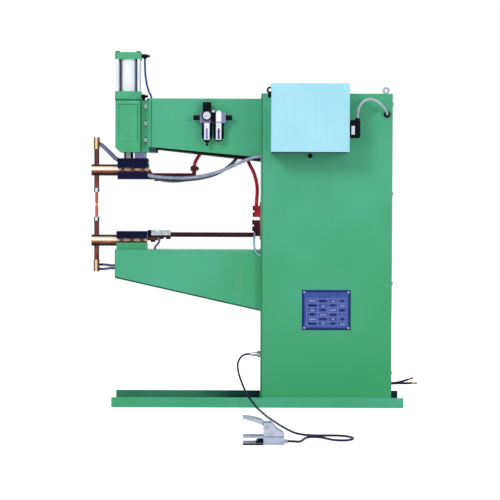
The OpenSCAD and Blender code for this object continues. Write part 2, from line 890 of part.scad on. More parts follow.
// One flow valve: its body along X and the outlet pointing down
module flow_valve(l, drop_x, drop_z, z) {
    difference() {
        union() {
            rod_x(valve_d, valve_x, valve_x + l, 0, z);
            rod_z(13, drop_z, z, drop_x, 0);
        }
        rod_x(valve_shaft_d + 2 * shaft_play, valve_x + l - 10, valve_x + l + past, 0, z);
    }
}

upper_valve_l = 23;
lower_valve_l = 16;

module flow_valves() {
    color(black) {
        flow_valve(upper_valve_l, valve_drop_x, upper_valve_z - valve_drop_l, upper_valve_z);
        flow_valve(lower_valve_l, valve_x + 8, casting_top, lower_valve_z);
    }
}

module flow_screw(l, z) {
    rod_x(valve_screw_d, valve_x + l + slide_play, valve_x + l + 10, 0, z);
    rod_x(valve_shaft_d, valve_x + l - 9, valve_x + l + slide_play, 0, z);
}

module upper_flow_screw() {
    color(black) flow_screw(upper_valve_l, upper_valve_z);
}

module lower_flow_screw() {
    color(black) flow_screw(lower_valve_l, lower_valve_z);
}

module solenoid_valve() {
    top = upper_arm_top - arm_t;
    color(steel) {
        block([-330, -20, top - 44], [-270, 20, top]);
        rod_z(34, top - 84, top - 44, -300, 0);
    }
}

up = [0, 0, 1];
down = [0, 0, -1];
right = [1, 0, 0];
front = [0, -1, 0];

module fixed_hoses() {
    color([0.3, 0.45, 0.65]) tube_along(air_route, air_hose_d, 4, down, down);
    color(hose_grey) {
        tube_along(drip_route, air_hose_d, 3, down, down);
        tube_along(return_route, air_hose_d, 3, front, right);
        for (n = lower_nipples) {
            z = holder_bottom + n;
            end_z = holder_bottom + 18.5 + (n > 17 ? 1 : -1) * (hose_d / 2 + 0.6);
            tube_along([
                [electrode_x + nipple_l, 0, z], [-622, 0, z], [-608, 0, (z + end_z) / 2], [-594, 0, end_z],
                [-583, 0, end_z], [lower_arm_x, 0, end_z]
            ], hose_d, 2, right, right);
        }
    }
}

// Ram and electrodes

module piston_rod() {
    color(steel) {
        rod_z(rod_d, clamp_top, piston_z, ram_x, 0);
        rod_z(bore_d - 2 * shaft_play, piston_z, piston_z + piston_h, ram_x, 0);
        rod_z(spigot_d, clamp_top - spigot_l, clamp_top, ram_x, 0);
    }
}

module guide_bar() {
    color(steel)
        block([guide_x0, -guide_d / 2, clamp_top], [guide_x0 + guide_w, guide_d / 2, clamp_top + guide_l]);
}

// Round channel of a clamp that grips a copper arm
module copper_channel(x, z) {
    rod_x(copper_d + 2 * clamp_play, x - past, x + clamp_l + past, 0, z);
}

// Places of the six bolts of a clamp that starts at x
module at_clamp_bolts(x) {
    for (i = [-1:1], s = [-1, 1])
        translate([x + clamp_l / 2 + i * clamp_bolt_pitch, s * clamp_bolt_rows / 2, 0]) children();
}

module clamp_bolt_holes(x, z0, z1) {
    at_clamp_bolts(x) rod_z(clamp_bolt_d + 2 * bolt_play, z0, z1, 0, 0);
}

module clamp_sinks(x, z0, z1) {
    at_clamp_bolts(x) rod_z(1.5 * clamp_bolt_d + 2 * bolt_play, z0, z1, 0, 0);
}

module clamp_half(x, z, h) {
    block([x, -clamp_d / 2, z], [x + clamp_l, clamp_d / 2, z + h]);
}

module upper_clamp_block() {
    plate_lip = 3;
    color(black)
        difference() {
            union() {
                clamp_half(upper_clamp_x, block_z, clamp_h);
                block(
                    [upper_clamp_x, -clamp_d / 2 - plate_lip, clamp_top - clamp_plate_t],
                    [upper_clamp_x + clamp_l, clamp_d / 2 + plate_lip, clamp_top]
                );
            }
            copper_channel(upper_clamp_x, upper_axis_z);
            clamp_bolt_holes(upper_clamp_x, block_z - past, block_z + 24);
            rod_z(spigot_d + 2 * bolt_play, clamp_top - spigot_l - past, clamp_top + past, ram_x, 0);
        }
}

module upper_clamp_cap() {
    color(black)
        difference() {
            clamp_half(upper_clamp_x, upper_cap_z, clamp_cap_h);
            copper_channel(upper_clamp_x, upper_axis_z);
            clamp_bolt_holes(upper_clamp_x, upper_cap_z - past, upper_cap_z + clamp_cap_h + past);
            clamp_sinks(upper_clamp_x, upper_cap_z - past, upper_cap_z + clamp_sink);
        }
}

// Bolt through the tongue of the copper arm and the bar on it, and the bolt of the bar's lug
bar_bolt_x = bar_x + 14;
tongue_bottom = tongue_z - bar_h - tongue_t;
lug_bolt_z = tongue_z - bar_h + lug_h - 13;

module bar_bolt_holes() {
    rod_z(bar_bolt_d + 2 * bolt_play, tongue_bottom - past, tongue_z + past, bar_bolt_x, 0);
    rod_x(
        bar_bolt_d + 2 * bolt_play, bar_x + bar_l - lug_t - past, bar_x + bar_l + past, 0, lug_bolt_z
    );
}

module upper_clamp_bolts() {
    nut_h = 7;
    color(steel) {
        at_clamp_bolts(upper_clamp_x)
            translate([0, 0, upper_cap_z + clamp_sink])
                rotate([180, 0, 0]) socket_bolt(clamp_bolt_d, clamp_cap_h + clamp_gap + 22 - clamp_sink);
        translate([bar_bolt_x, 0, tongue_bottom])
            rotate([180, 0, 0]) hex_bolt(bar_bolt_d, bar_h + tongue_t);
        translate([bar_x + bar_l - lug_t, 0, lug_bolt_z]) rotate([0, -90, 0]) {
            hex_bolt(bar_bolt_d, lug_t + nut_h + 5);
            translate([0, 0, -lug_t - nut_h]) cylinder(d = 1.8 * bar_bolt_d, h = nut_h, $fn = 6);
        }
    }
}

// Its neck steps down behind the clamp to a tongue under the bar
module upper_copper_arm() {
    clamp_end = upper_clamp_x + clamp_l;
    neck_end = clamp_end + neck_l;
    color(copper)
        difference() {
            union() {
                rod_x(copper_d, electrode_x - copper_end, clamp_end + 3, 0, upper_axis_z);
                side_plate([
                    [clamp_end + 0.5, tongue_bottom], [neck_end, tongue_bottom],
                    [neck_end, tongue_z], [clamp_end + 0.5, upper_axis_z + 10]
                ], -tongue_w / 2, tongue_w / 2);
                block(
                    [neck_end - 1, -tongue_w / 2, tongue_bottom],
                    [bar_bolt_x + 14, tongue_w / 2, tongue_z - bar_h]
                );
            }
            holder_hole(upper_axis_z);
            bar_bolt_holes();
        }
}

module holder_hole(z) {
    rod_z(holder_d + 2 * clamp_play, z - copper_d, z + copper_d, electrode_x, 0);
}

// A holder above the weld point, with its hose nipples measured from its far end
module holder(nipples, dip) {
    difference() {
        union() {
            rod_z(holder_d, tip_l, tip_l + holder_l, 0, 0);
            rod_z(ferrule_d, tip_l, tip_l + ferrule_h, 0, 0);
            rod_z(head_d, tip_l + holder_l - head_h, tip_l + holder_l, 0, 0);
            for (n = nipples)
                translate([0, 0, tip_l + holder_l - n]) rotate([0, dip, 0]) rod_x(nipple_d, 0, nipple_l, 0, 0);
        }
        rod_z(tip_shank_d + 2 * clamp_play, tip_l - past, tip_l + tip_shank_l + past, 0, 0);
    }
}

// A tip above the weld point: contact cone, body and the shank in the holder
module tip(clear) {
    cone_h = 8;
    translate([0, 0, clear]) cylinder(d1 = tip_face, d2 = tip_d, h = cone_h);
    rod_z(tip_d, clear + cone_h, tip_l, 0, 0);
    rod_z(tip_shank_d, tip_l, tip_l + tip_shank_l, 0, 0);
}

module upper_holder() {
    color(copper) translate([electrode_x, 0, weld_z]) holder([upper_nipple], nipple_dip);
}

module upper_tip() {
    color(copper) translate([electrode_x, 0, weld_z]) tip(tip_clear);
}

module lower_holder() {
    color(copper) translate([electrode_x, 0, weld_z]) mirror([0, 0, 1]) holder(lower_nipples, 0);
}

module lower_tip() {
    color(copper) translate([electrode_x, 0, weld_z]) mirror([0, 0, 1]) tip(0);
}

module upper_bar() {
    end = bar_x + bar_l;
    color(black)
        difference() {
            union() {
                block([bar_x, -bar_w / 2, tongue_z - bar_h], [end, bar_w / 2, tongue_z]);
                block([end - lug_t, -bar_w / 2, tongue_z - bar_h], [end, bar_w / 2, tongue_z - bar_h + lug_h]);
            }
            bar_bolt_holes();
        }
}

module upper_hose() {
    color(hose_grey) tube_along(upper_hose_route, upper_hose_d, 3, [cos(nipple_dip), 0, -sin(nipple_dip)], right);
}

// Lower clamp and secondary circuit

module lower_clamp_cap() {
    color(black)
        difference() {
            clamp_half(lower_clamp_x, lower_cap_z, clamp_cap_h);
            copper_channel(lower_clamp_x, lower_axis_z);
            clamp_bolt_holes(lower_clamp_x, lower_cap_z - past, lower_cap_z + clamp_cap_h + past);
            clamp_sinks(lower_clamp_x, lower_cap_z + clamp_cap_h - clamp_sink, lower_cap_z + clamp_cap_h + past);
        }
}

// Shunt bolts: distance along the shunt, and the underside where the head sits
shunt_bolts = [[20, shunt_z - tongue_t], [54, shunt_z], [82, shunt_z]];

module shunt_bolt_holes(z0) {
    for (b = shunt_bolts) rod_z(bar_bolt_d + 2 * bolt_play, z0, shunt_z + shunt_h - 4, shunt_x + b[0], 0);
}

module lower_copper_arm() {
    clamp_end = lower_clamp_x + clamp_l;
    color(copper)
        difference() {
            union() {
                rod_x(copper_d, electrode_x - copper_end, clamp_end, 0, lower_axis_z);
                block([clamp_end, -tongue_w / 2, lower_axis_z], [clamp_end + 44, tongue_w / 2, shunt_z]);
            }
            holder_hole(lower_axis_z);
            shunt_bolt_holes(lower_axis_z - past);
        }
}

// A packet of copper foils: grooves part the layers along both sides
module lower_shunt() {
    layers = 6;
    groove = 1;
    color(alloy)
        difference() {
            block([shunt_x, -bar_w / 2, shunt_z], [shunt_x + shunt_l, bar_w / 2, shunt_z + shunt_h]);
            shunt_bolt_holes(shunt_z - past);
            for (i = [1:layers - 1], s = [0, 1]) {
                z = shunt_z + i * shunt_h / layers;
                mirror([0, s, 0])
                    block(
                        [shunt_x - past, bar_w / 2 - 2, z - groove / 2],
                        [shunt_x + shunt_l + past, bar_w / 2 + past, z + groove / 2]
                    );
            }
        }
}

lower_lug_bolts = [lower_terminal_z + 29, lower_terminal_z + 56];
upper_lug_bolts = [upper_terminal_z + 10, upper_terminal_z + 36];
lug_bolt_l = 40;

module lug_holes(x, heights) {
    for (z = heights) rod_x(bar_bolt_d + 2 * bolt_play, x - past, x + lug_bolt_l + past, 0, z);
}

module lower_conductor() {
    color([0.5, 0.22, 0.16])
        difference() {
            union() {
                rod_x(conductor_d, shunt_x + shunt_l, terminal_x - lower_lug_t, 0, conductor_z);
                block(
                    [terminal_x - lower_lug_t, -terminal_w / 2, lower_terminal_z],
                    [terminal_x, terminal_w / 2, lower_terminal_z + lower_terminal_h]
                );
            }
            lug_holes(terminal_x - lower_lug_t, lower_lug_bolts);
        }
}

module lug_bolts(x, heights) {
    for (z = heights) translate([x, 0, z]) rotate([0, -90, 0]) hex_bolt(bar_bolt_d, lug_bolt_l);
}

module conductor_bolts() {
    color(steel) {
        at_clamp_bolts(lower_clamp_x)
            translate([0, 0, lower_cap_z + clamp_cap_h - clamp_sink])
                socket_bolt(clamp_bolt_d, clamp_cap_h + clamp_gap + pad_h - 5 - clamp_sink);
        for (b = shunt_bolts)
            translate([shunt_x + b[0], 0, b[1]])
                rotate([180, 0, 0]) hex_bolt(bar_bolt_d, shunt_z + shunt_h - 6 - b[1]);
        lug_bolts(terminal_x - lower_lug_t, lower_lug_bolts);
        lug_bolts(upper_terminal_x - upper_lug_t, upper_lug_bolts);
    }
}

module secondary_terminals() {
    w = terminal_w / 2;
    color(copper)
        difference() {
            union() {
                block([terminal_x, -w, lower_terminal_z], [winding_x, w, lower_terminal_z + lower_terminal_h]);
                block([upper_terminal_x, -w, upper_terminal_z], [winding_x, w, upper_terminal_z + terminal_h]);
                block(
                    [upper_terminal_x - upper_lug_t, -w, upper_terminal_z],
                    [upper_terminal_x, w, upper_terminal_z + terminal_h]
                );
            }
            lug_holes(terminal_x - lower_lug_t, lower_lug_bolts);
            lug_holes(upper_terminal_x - upper_lug_t, upper_lug_bolts);
        }
}

module terminal_board() {
    w = terminal_w / 2;
    m = board_margin;
    color([0.55, 0.35, 0.22])
        difference() {
            block(
                [column_x - board_t, -w - m, lower_terminal_z - m],
                [column_x, w + m, upper_terminal_z + terminal_h + m]
            );
            for (slot = [[lower_terminal_z, lower_terminal_h], [upper_terminal_z, terminal_h]])
                block(
                    [column_x - board_t - past, -w - slide_play, slot[0] - slide_play],
                    [column_x + past, w + slide_play, slot[0] + slot[1] + slide_play]
                );
        }
}

module upper_flex() {
    color([0.62, 0.2, 0.12]) tube_along(flex_route, flex_d, 3, up, down);
}

module water_hoses() {
    color(hose_grey) {
        tube_along(water_route_a, water_hose_d, 3, right, right);
        tube_along(water_route_b, water_hose_d, 3, right, unit([arm_slope, 0, 1]));
    }
}

module transformer_core() {
    y0 = core_limb / 2;
    color([0.3, 0.3, 0.32])
        difference() {
            block([core_x, -core_d / 2, shelf_z], [core_x + core_w, core_d / 2, shelf_z + core_h]);
            for (s = [0, 1])
                mirror([0, s, 0])
                    block(
                        [core_x - past, y0, shelf_z + core_window_z],
                        [core_x + core_w + past, y0 + core_window_w, shelf_z + core_h - core_window_z]
                    );
        }
}

module transformer_windings() {
    half = core_limb / 2 + core_window_w - 2 * winding_gap;
    z0 = shelf_z + core_window_z;
    z1 = shelf_z + core_h - core_window_z - 2 * winding_gap;
    hole_y = core_limb / 2 + winding_gap;
    color(copper)
        difference() {
            block([winding_x, -half, z0], [2 * core_x + core_w - winding_x, half, z1]);
            block(
                [core_x - winding_gap, -hole_y, z0 - past],
                [core_x + core_w + winding_gap, hole_y, z1 + past]
            );
        }
}

// Control box and its cables

knob_shaft_d = 6;
plug_z = box_z + 57;
plug_h = 70;
plug_w = 40;
plug_l = 45;
plug_flange = 56;
plug_flange_t = 4;
plug_spigot_d = 30;

module control_box() {
    right_x = box_x + box_w;
    color(pale_blue)
        difference() {
            union() {
                block([box_x, box_front + box_t, box_z], [right_x, column_front, box_z + box_h]);
                block(
                    [tab_x - tab_w / 2, column_front - sheet_t, box_z - tab_h],
                    [tab_x + tab_w / 2, column_front, box_z]
                );
            }
            block(
                [box_x + box_t, box_front, box_z + box_t],
                [right_x - box_t, column_front - box_t, box_z + box_h - box_t]
            );
            rod_x(knob_shaft_d + 2 * shaft_play, box_x - past, box_x + box_t + past, box_mid_y, box_knob_z);
            rod_x(
                plug_spigot_d + 2 * bolt_play, right_x - box_t - past, right_x + past, box_mid_y,
                plug_z + plug_h / 2
            );
            tab_hole();
        }
}

module control_box_cover() {
    color(pale_blue)
        block([box_x, box_front, box_z], [box_x + box_w, box_front + box_t, box_z + box_h]);
}

module panel_knob() {
    face = box_x - slide_play;
    grip_w = 7;
    color(black) {
        rod_x(panel_knob_d, face - panel_knob_l / 2, face, box_mid_y, box_knob_z);
        block(
            [face - panel_knob_l, box_mid_y - grip_w / 2, box_knob_z - panel_knob_d / 2 + 1],
            [face - panel_knob_l / 2, box_mid_y + grip_w / 2, box_knob_z + panel_knob_d / 2 - 1]
        );
        rod_x(knob_shaft_d, face, box_x + box_t + 8, box_mid_y, box_knob_z);
    }
}

module plug() {
    x = box_x + box_w;
    mid_z = plug_z + plug_h / 2;
    block(
        [x, box_mid_y - plug_flange / 2, mid_z - plug_flange / 2],
        [x + plug_flange_t, box_mid_y + plug_flange / 2, mid_z + plug_flange / 2]
    );
    translate([x + plug_flange_t, box_mid_y + plug_w / 2, plug_z])
        rotate([90, 0, 0]) linear_extrude(plug_w) round_square([plug_l - plug_flange_t, plug_h], 8);
    rod_x(plug_spigot_d, x - box_t, x, box_mid_y, mid_z);
    rod_z(18, plug_z + plug_h - past, plug_z + plug_h + 8, control_route[0][0], box_mid_y);
}

// A gland on the column's left face, with a tapered nose for the pedal cord
module pedal_gland() {
    nut_l = 12;
    translate([column_x, pedal_exit_y, pedal_exit_z]) rotate([0, -90, 0]) {
        cylinder(d = 26, h = nut_l, $fn = 6);
        translate([0, 0, nut_l]) cylinder(d1 = 20, d2 = 12, h = pedal_gland_l - nut_l);
        translate([0, 0, -sheet_t]) cylinder(d = port_d - 2 * bolt_play, h = sheet_t);
    }
}

module cable_fittings() {
    color(black) {
        plug();
        pedal_gland();
        rod_y(grommet_d, column_front - grommet_h, column_front, cable_port_x, cable_port_z);
        rod_y(port_d - 2 * bolt_play, column_front, column_front + sheet_t, cable_port_x, cable_port_z);
        rod_x(mains_grommet_d, cover_face, cover_face + grommet_h, mains_port_y, mains_port_z);
        rod_x(mains_port_d - 2 * bolt_play, column_right, cover_face, mains_port_y, mains_port_z);
    }
}

module control_cable() {
    color(hose_grey) tube_along(control_route, control_cable_d, 3, -down, -front);
}

module mains_leads() {
    color([0.15, 0.15, 0.16])
        for (route = [mains_route_a, mains_route_b]) tube_along(route, mains_d, 2, right, right);
}

module pedal_cord() {
    color([0.2, 0.2, 0.2]) tube_along(pedal_route, pedal_cord_d, 2, -right, -right);
}

// Air set on the front of the upper arm

module frl_body() {
    y0 = frl_y - frl_d / 2;
    y1 = frl_y + frl_d / 2;
    x0 = frl_x - frl_l / 2;
    x1 = frl_x + frl_l / 2;
    fitting_d = 20;
    color(alloy)
        difference() {
            union() {
                block([x0, y0, frl_bottom], [x1, y1, frl_top]);
                block([frl_x - 20, y1, frl_z - 13], [frl_x + 20, -arm_w / 2, frl_z + 13]);
                rod_x(fitting_d, x0 - fitting_l, x1 + fitting_l, frl_y, frl_z);
                rod_z(stem_d, frl_top, frl_top + stem_h, filter_x, frl_y);
                rod_z(9, frl_top, frl_top + 9, frl_x + 2, frl_y);
            }
            rod_x(inlet_d, x0 - fitting_l - past, x0, frl_y, frl_z);
            rod_x(inlet_d, x1, x1 + fitting_l + past, frl_y, frl_z);
            rod_y(gauge_bore + 2 * shaft_play, y0 - past, y0 + 6, filter_x, frl_z + 7);
        }
}

// A bowl hangs under the body, with a round bottom and a sight slot on the front
module bowl(x) {
    r = bowl_d / 2;
    difference() {
        union() {
            rod_z(bowl_d, frl_bottom - bowl_h + r, frl_bottom, x, frl_y);
            translate([x, frl_y, frl_bottom - bowl_h + r]) sphere(d = bowl_d);
        }
        block(
            [x - 4, frl_y - r - past, frl_bottom - bowl_h + 12],
            [x + 4, frl_y - r + bowl_wall - 1, frl_bottom - 22]
        );
    }
}

module frl_bowls() {
    dome_d = 20;
    bowl_end = frl_bottom - bowl_h;
    color([0.85, 0.86, 0.88]) {
        difference() {
            union() {
                bowl(filter_x);
                translate([filter_x, frl_y, bowl_end - drain_collar_h])
                    cylinder(d1 = drain_d + 4, d2 = bowl_d - 14, h = drain_collar_h + 5);
            }
            rod_z(
                drain_stem_d + 2 * shaft_play, bowl_end - drain_collar_h - past, bowl_end + 16, filter_x, frl_y
            );
        }
        bowl(oiler_x);
        rod_z(dome_d, frl_top, frl_top + 3, oiler_x, frl_y);
        translate([oiler_x, frl_y, frl_top + 3]) cylinder(d1 = dome_d, d2 = dome_d - 9, h = 4);
    }
}

module regulator_knob() {
    z0 = frl_top + 4;
    grooves = 16;
    color(black)
        difference() {
            rod_z(knob_d, z0, z0 + knob_h, filter_x, frl_y);
            rod_z(stem_d + 2 * shaft_play, z0 - past, frl_top + stem_h + slide_play, filter_x, frl_y);
            for (i = [0:grooves - 1])
                translate([filter_x, frl_y, 0]) rotate(360 * i / grooves)
                    rod_z(3, z0 + 6, z0 + knob_h + past, knob_d / 2 + 0.5, 0);
        }
}

gauge_z = frl_z + 7;
gauge_front = frl_y - frl_d / 2 - gauge_l;

module pressure_gauge() {
    color(black)
        difference() {
            rod_y(gauge_d, gauge_front, frl_y - frl_d / 2, filter_x, gauge_z);
            rod_y(gauge_d - 6, gauge_front - past, gauge_front + gauge_recess, filter_x, gauge_z);
            rod_y(gauge_bore + 2 * shaft_play, gauge_front, frl_y, filter_x, gauge_z);
        }
}

// The pointer rests at the lower left of the dial, where the scale starts
module gauge_pointer() {
    y0 = gauge_front + 1;
    l = gauge_d / 2 - 6;
    color([0.7, 0.1, 0.1]) {
        rod_y(5, y0, y0 + 1, filter_x, gauge_z);
        rod_y(gauge_bore, y0 + 1, gauge_front + gauge_l - 2, filter_x, gauge_z);
        translate([filter_x, y0 + 1, gauge_z]) rotate([90, 135, 0])
            linear_extrude(1) polygon([[0, -1.2], [l, -0.3], [l, 0.3], [0, 1.2]]);
    }
}

module drain_cock() {
    z = frl_bottom - bowl_h - drain_collar_h;
    color(brass) {
        rod_z(drain_d, z - drain_rise - 8, z - drain_rise, filter_x, frl_y);
        rod_z(drain_stem_d, z - drain_rise, z + drain_collar_h + 10, filter_x, frl_y);
    }
}

// Foot switch

ear_gap = 0.5;
treadle_t = 6;

module footswitch_base() {
    w = switch_w / 2;
    x1 = switch_x + switch_l;
    body_x = pivot_x - 12;
    skid_x = switch_x + 2;
    slot = hub_w / 2 + ear_gap;
    color(alloy) translate([0, switch_y, 0])
        difference() {
            union() {
                side_plate([
                    [body_x, 0], [x1, 0], [x1, 34], [x1 - 6, 42], [x1 - 22, 50], [pivot_x + 14, pivot_z + 12],
                    [body_x, pivot_z + 12], [body_x, 40]
                ], -w + 4, w - 4);
                block([body_x - 2, -w, 0], [x1, w, 6]);
                block([skid_x, -w + 2, 0], [body_x, w - 2, 6]);
                block([skid_x, -w + 6, 23], [body_x, w - 6, 29]);
                side_plate([
                    [body_x - 26, 6], [body_x, 6], [body_x, 23], [body_x - 8, 23], [body_x - 26, 10]
                ], -w + 12, w - 12);
                rod_x(14, x1 - 10, x1 + switch_nub_l, 0, switch_nub_z);
            }
            block([switch_x, -slot, 36], [pivot_x + hub_d / 2 + 2, slot, pivot_z + 40]);
            rod_y(pivot_d + 2 * bolt_play, -w - past, w + past, pivot_x, pivot_z);
        }
}

// The treadle's hub turns on the pin, and its plate rises towards the toe with ribs beneath
module treadle() {
    w = switch_w / 2 - 4;
    toe_x = switch_x + 1;
    heel_x = pivot_x - 16;
    rise = [[toe_x, 88], [toe_x + 22, 86.5], [toe_x + 46, 82], [heel_x, 75]];
    ribs = 5;
    color(alloy) translate([0, switch_y, 0])
        difference() {
            union() {
                side_plate(concat(rise, [for (i = [3:-1:0]) rise[i] + [0, treadle_t]]), -w, w);
                for (i = [0:ribs - 1])
                    translate([0, (i - 2) * (w - 3) / 2, 0])
                        side_plate([rise[0] + [6, 1], rise[1] - [0, 4], rise[2] - [0, 7], rise[3] - [2, 6],
                            rise[3] + [0, 1], rise[2] + [0, 1], rise[1] + [0, 1]], -1.5, 1.5);
                side_plate([
                    rise[3] - [6, 4], [pivot_x - 4, pivot_z - 8], [pivot_x, pivot_z + 8],
                    [heel_x, rise[3][1] + treadle_t], rise[2] + [4, 2]
                ], -hub_w / 2, hub_w / 2);
                rod_y(hub_d, -hub_w / 2, hub_w / 2, pivot_x, pivot_z);
            }
            rod_y(pivot_d + 2 * shaft_play, -w - past, w + past, pivot_x, pivot_z);
        }
}

module treadle_pin() {
    w = switch_w / 2;
    color(steel) translate([0, switch_y, 0]) {
        rod_y(pivot_d, -w + 4, w - 4, pivot_x, pivot_z);
        rod_y(pivot_d + 4, -w + 1, -w + 4, pivot_x, pivot_z);
        rod_y(pivot_d + 4, w - 4, w - 1, pivot_x, pivot_z);
    }
}

base_front_rail();
base_rear_rail();
base_cross_members();
column_shell();
rear_cover();
sheet_screws();
lifting_eyes();
nameplate();
upper_arm();
lower_arm();
head_casting();
head_bolts();
cylinder_bottom_cap();
cylinder_tube();
cylinder_top_cap();
tie_rods();
flow_valves();
upper_flow_screw();
lower_flow_screw();
solenoid_valve();
fixed_hoses();
piston_rod();
guide_bar();
upper_clamp_block();
upper_clamp_cap();
upper_clamp_bolts();
upper_copper_arm();
upper_holder();
upper_tip();
upper_bar();
upper_hose();
lower_clamp_cap();
lower_copper_arm();
lower_holder();
lower_tip();
lower_shunt();
lower_conductor();
conductor_bolts();
secondary_terminals();
terminal_board();
upper_flex();
water_hoses();
transformer_core();
transformer_windings();
control_box();
control_box_cover();
panel_knob();
cable_fittings();
control_cable();
mains_leads();
frl_body();
frl_bowls();
regulator_knob();
pressure_gauge();
gauge_pointer();
drain_cock();
footswitch_base();
treadle();
treadle_pin();
pedal_cord();
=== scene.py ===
"""Looks of a long-arm air-operated spot welder with its foot switch, built around the CAD frame.

Metres, in the frame of the CAD model: +X runs from the electrodes to the column, +Y to the rear, +Z up,
with the origin on the floor in the middle of the four anchor holes.
"""

from __future__ import annotations

import logging
import math
from contextlib import contextmanager
from dataclasses import dataclass, field
from enum import Enum
from typing import Callable, Iterator, Sequence

import bmesh
import bpy
from mathutils import Matrix, Vector

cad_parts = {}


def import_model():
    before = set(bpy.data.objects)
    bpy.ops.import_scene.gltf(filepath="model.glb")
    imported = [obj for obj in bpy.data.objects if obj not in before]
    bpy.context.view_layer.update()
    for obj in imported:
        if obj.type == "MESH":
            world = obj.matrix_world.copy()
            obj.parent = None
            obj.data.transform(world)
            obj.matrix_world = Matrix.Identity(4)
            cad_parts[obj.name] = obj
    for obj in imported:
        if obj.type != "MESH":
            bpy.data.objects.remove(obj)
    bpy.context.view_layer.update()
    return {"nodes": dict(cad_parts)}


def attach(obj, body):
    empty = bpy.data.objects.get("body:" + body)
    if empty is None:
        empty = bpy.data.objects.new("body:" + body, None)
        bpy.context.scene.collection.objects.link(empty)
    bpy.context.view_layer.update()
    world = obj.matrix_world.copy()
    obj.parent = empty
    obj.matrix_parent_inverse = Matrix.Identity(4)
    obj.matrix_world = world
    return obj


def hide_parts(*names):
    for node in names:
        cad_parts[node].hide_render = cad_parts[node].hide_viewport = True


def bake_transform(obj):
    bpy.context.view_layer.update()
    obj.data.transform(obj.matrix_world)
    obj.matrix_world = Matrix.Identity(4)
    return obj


log = logging.getLogger("spot_welder")

MM = 0.001
Point = Sequence[float]

# The colour sockets of Blender's mix node: three inputs and the result.
MIX_SHARE, MIX_UNDER, MIX_OVER, MIX_RESULT = 0, 6, 7, 2
# The length of one wave of Blender's wave texture at a scale of 1.
WAVE = math.pi / 10
# The noise at which a patch of the second colour starts, and at which it is full.
PATCH_SPAN = (0.35, 0.68)
# The noise at which a surface is glossiest, and at which it is roughest.
WEAR_SPAN = (0.3, 0.7)
LEAST_ROUGHNESS = 0.02
# How far past a face a test for paint starts, and how far it keeps clear of rounding, in millimetres.
PAST = 1.0
HAIR = 0.01


class Body(str, Enum):
    """The moving bodies of the CAD frame."""

    FRAME = "frame"
    RAM = "ram"
    UPPER_SCREW = "upper_valve_screw"
    LOWER_SCREW = "lower_valve_screw"
    SELECTOR = "selector"
    PRESSURE = "pressure_knob"
    POINTER = "pointer"
    DRAIN = "drain"
    TREADLE = "foot_treadle"


class Slot(str, Enum):
    """The material slots that the finishes fall into."""

    GREEN = "green_enamel"
    PALE_BLUE = "pale_blue_enamel"
    BLACK_STEEL = "black_steel"
    BOLT = "bolt_steel"
    GROUND = "ground_steel"
    CYLINDER = "cylinder_alloy"
    CAST = "cast_alloy"
    COPPER = "copper"
    BRASS = "brass"
    FOIL = "shunt_foil"
    SLEEVE = "red_sleeve"
    HOSE = "grey_hose"
    PLASTIC = "black_plastic"
    SHEATH = "cable_sheath"
    BOARD = "insulating_board"
    CORE = "core_steel"
    BOWL = "clear_bowl"
    PLATE = "plate_blue"
    POINTER = "pointer_red"


class Axis(Enum):
    """The three directions that a part can lie along."""

    X = 0
    Y = 1
    Z = 2

    def along(self) -> Vector:
        """Gives the unit vector along the axis."""
        return Vector([1.0 if i == self.value else 0.0 for i in range(3)])


def linear(code: str) -> tuple[float, float, float, float]:
    """Turns an sRGB hex colour to linear.

    Args:
        code: The colour as "#RRGGBB".

    Returns:
        Linear red, green and blue, and an alpha of 1.
    """
    channels = [int(code[i : i + 2], 16) / 255 for i in (1, 3, 5)]
    red, green, blue = (c / 12.92 if c <= 0.04045 else ((c + 0.055) / 1.055) ** 2.4 for c in channels)
    return red, green, blue, 1.0


def add_node(tree: bpy.types.NodeTree, kind: str, links: dict | None = None,
             **settings: object) -> bpy.types.Node:
    """Adds one node with its settings and links.

    Args:
        tree: The node tree.
        kind: The node's Blender type.
        links: Input name or number to a value, or to the socket that feeds it.
        settings: Attributes of the node.

    Returns:
        The new node.
    """
    node = tree.nodes.new(kind)
    for key, value in settings.items():
        setattr(node, key, value)
    for key, value in (links or {}).items():
        if isinstance(value, bpy.types.NodeSocket):
            tree.links.new(value, node.inputs[key])
        else:
            node.inputs[key].default_value = value
    return node


def per_metre(size_mm: float) -> float:
    """Gives the texture scale at which one feature is this many millimetres."""
    return 1 / (size_mm * MM)


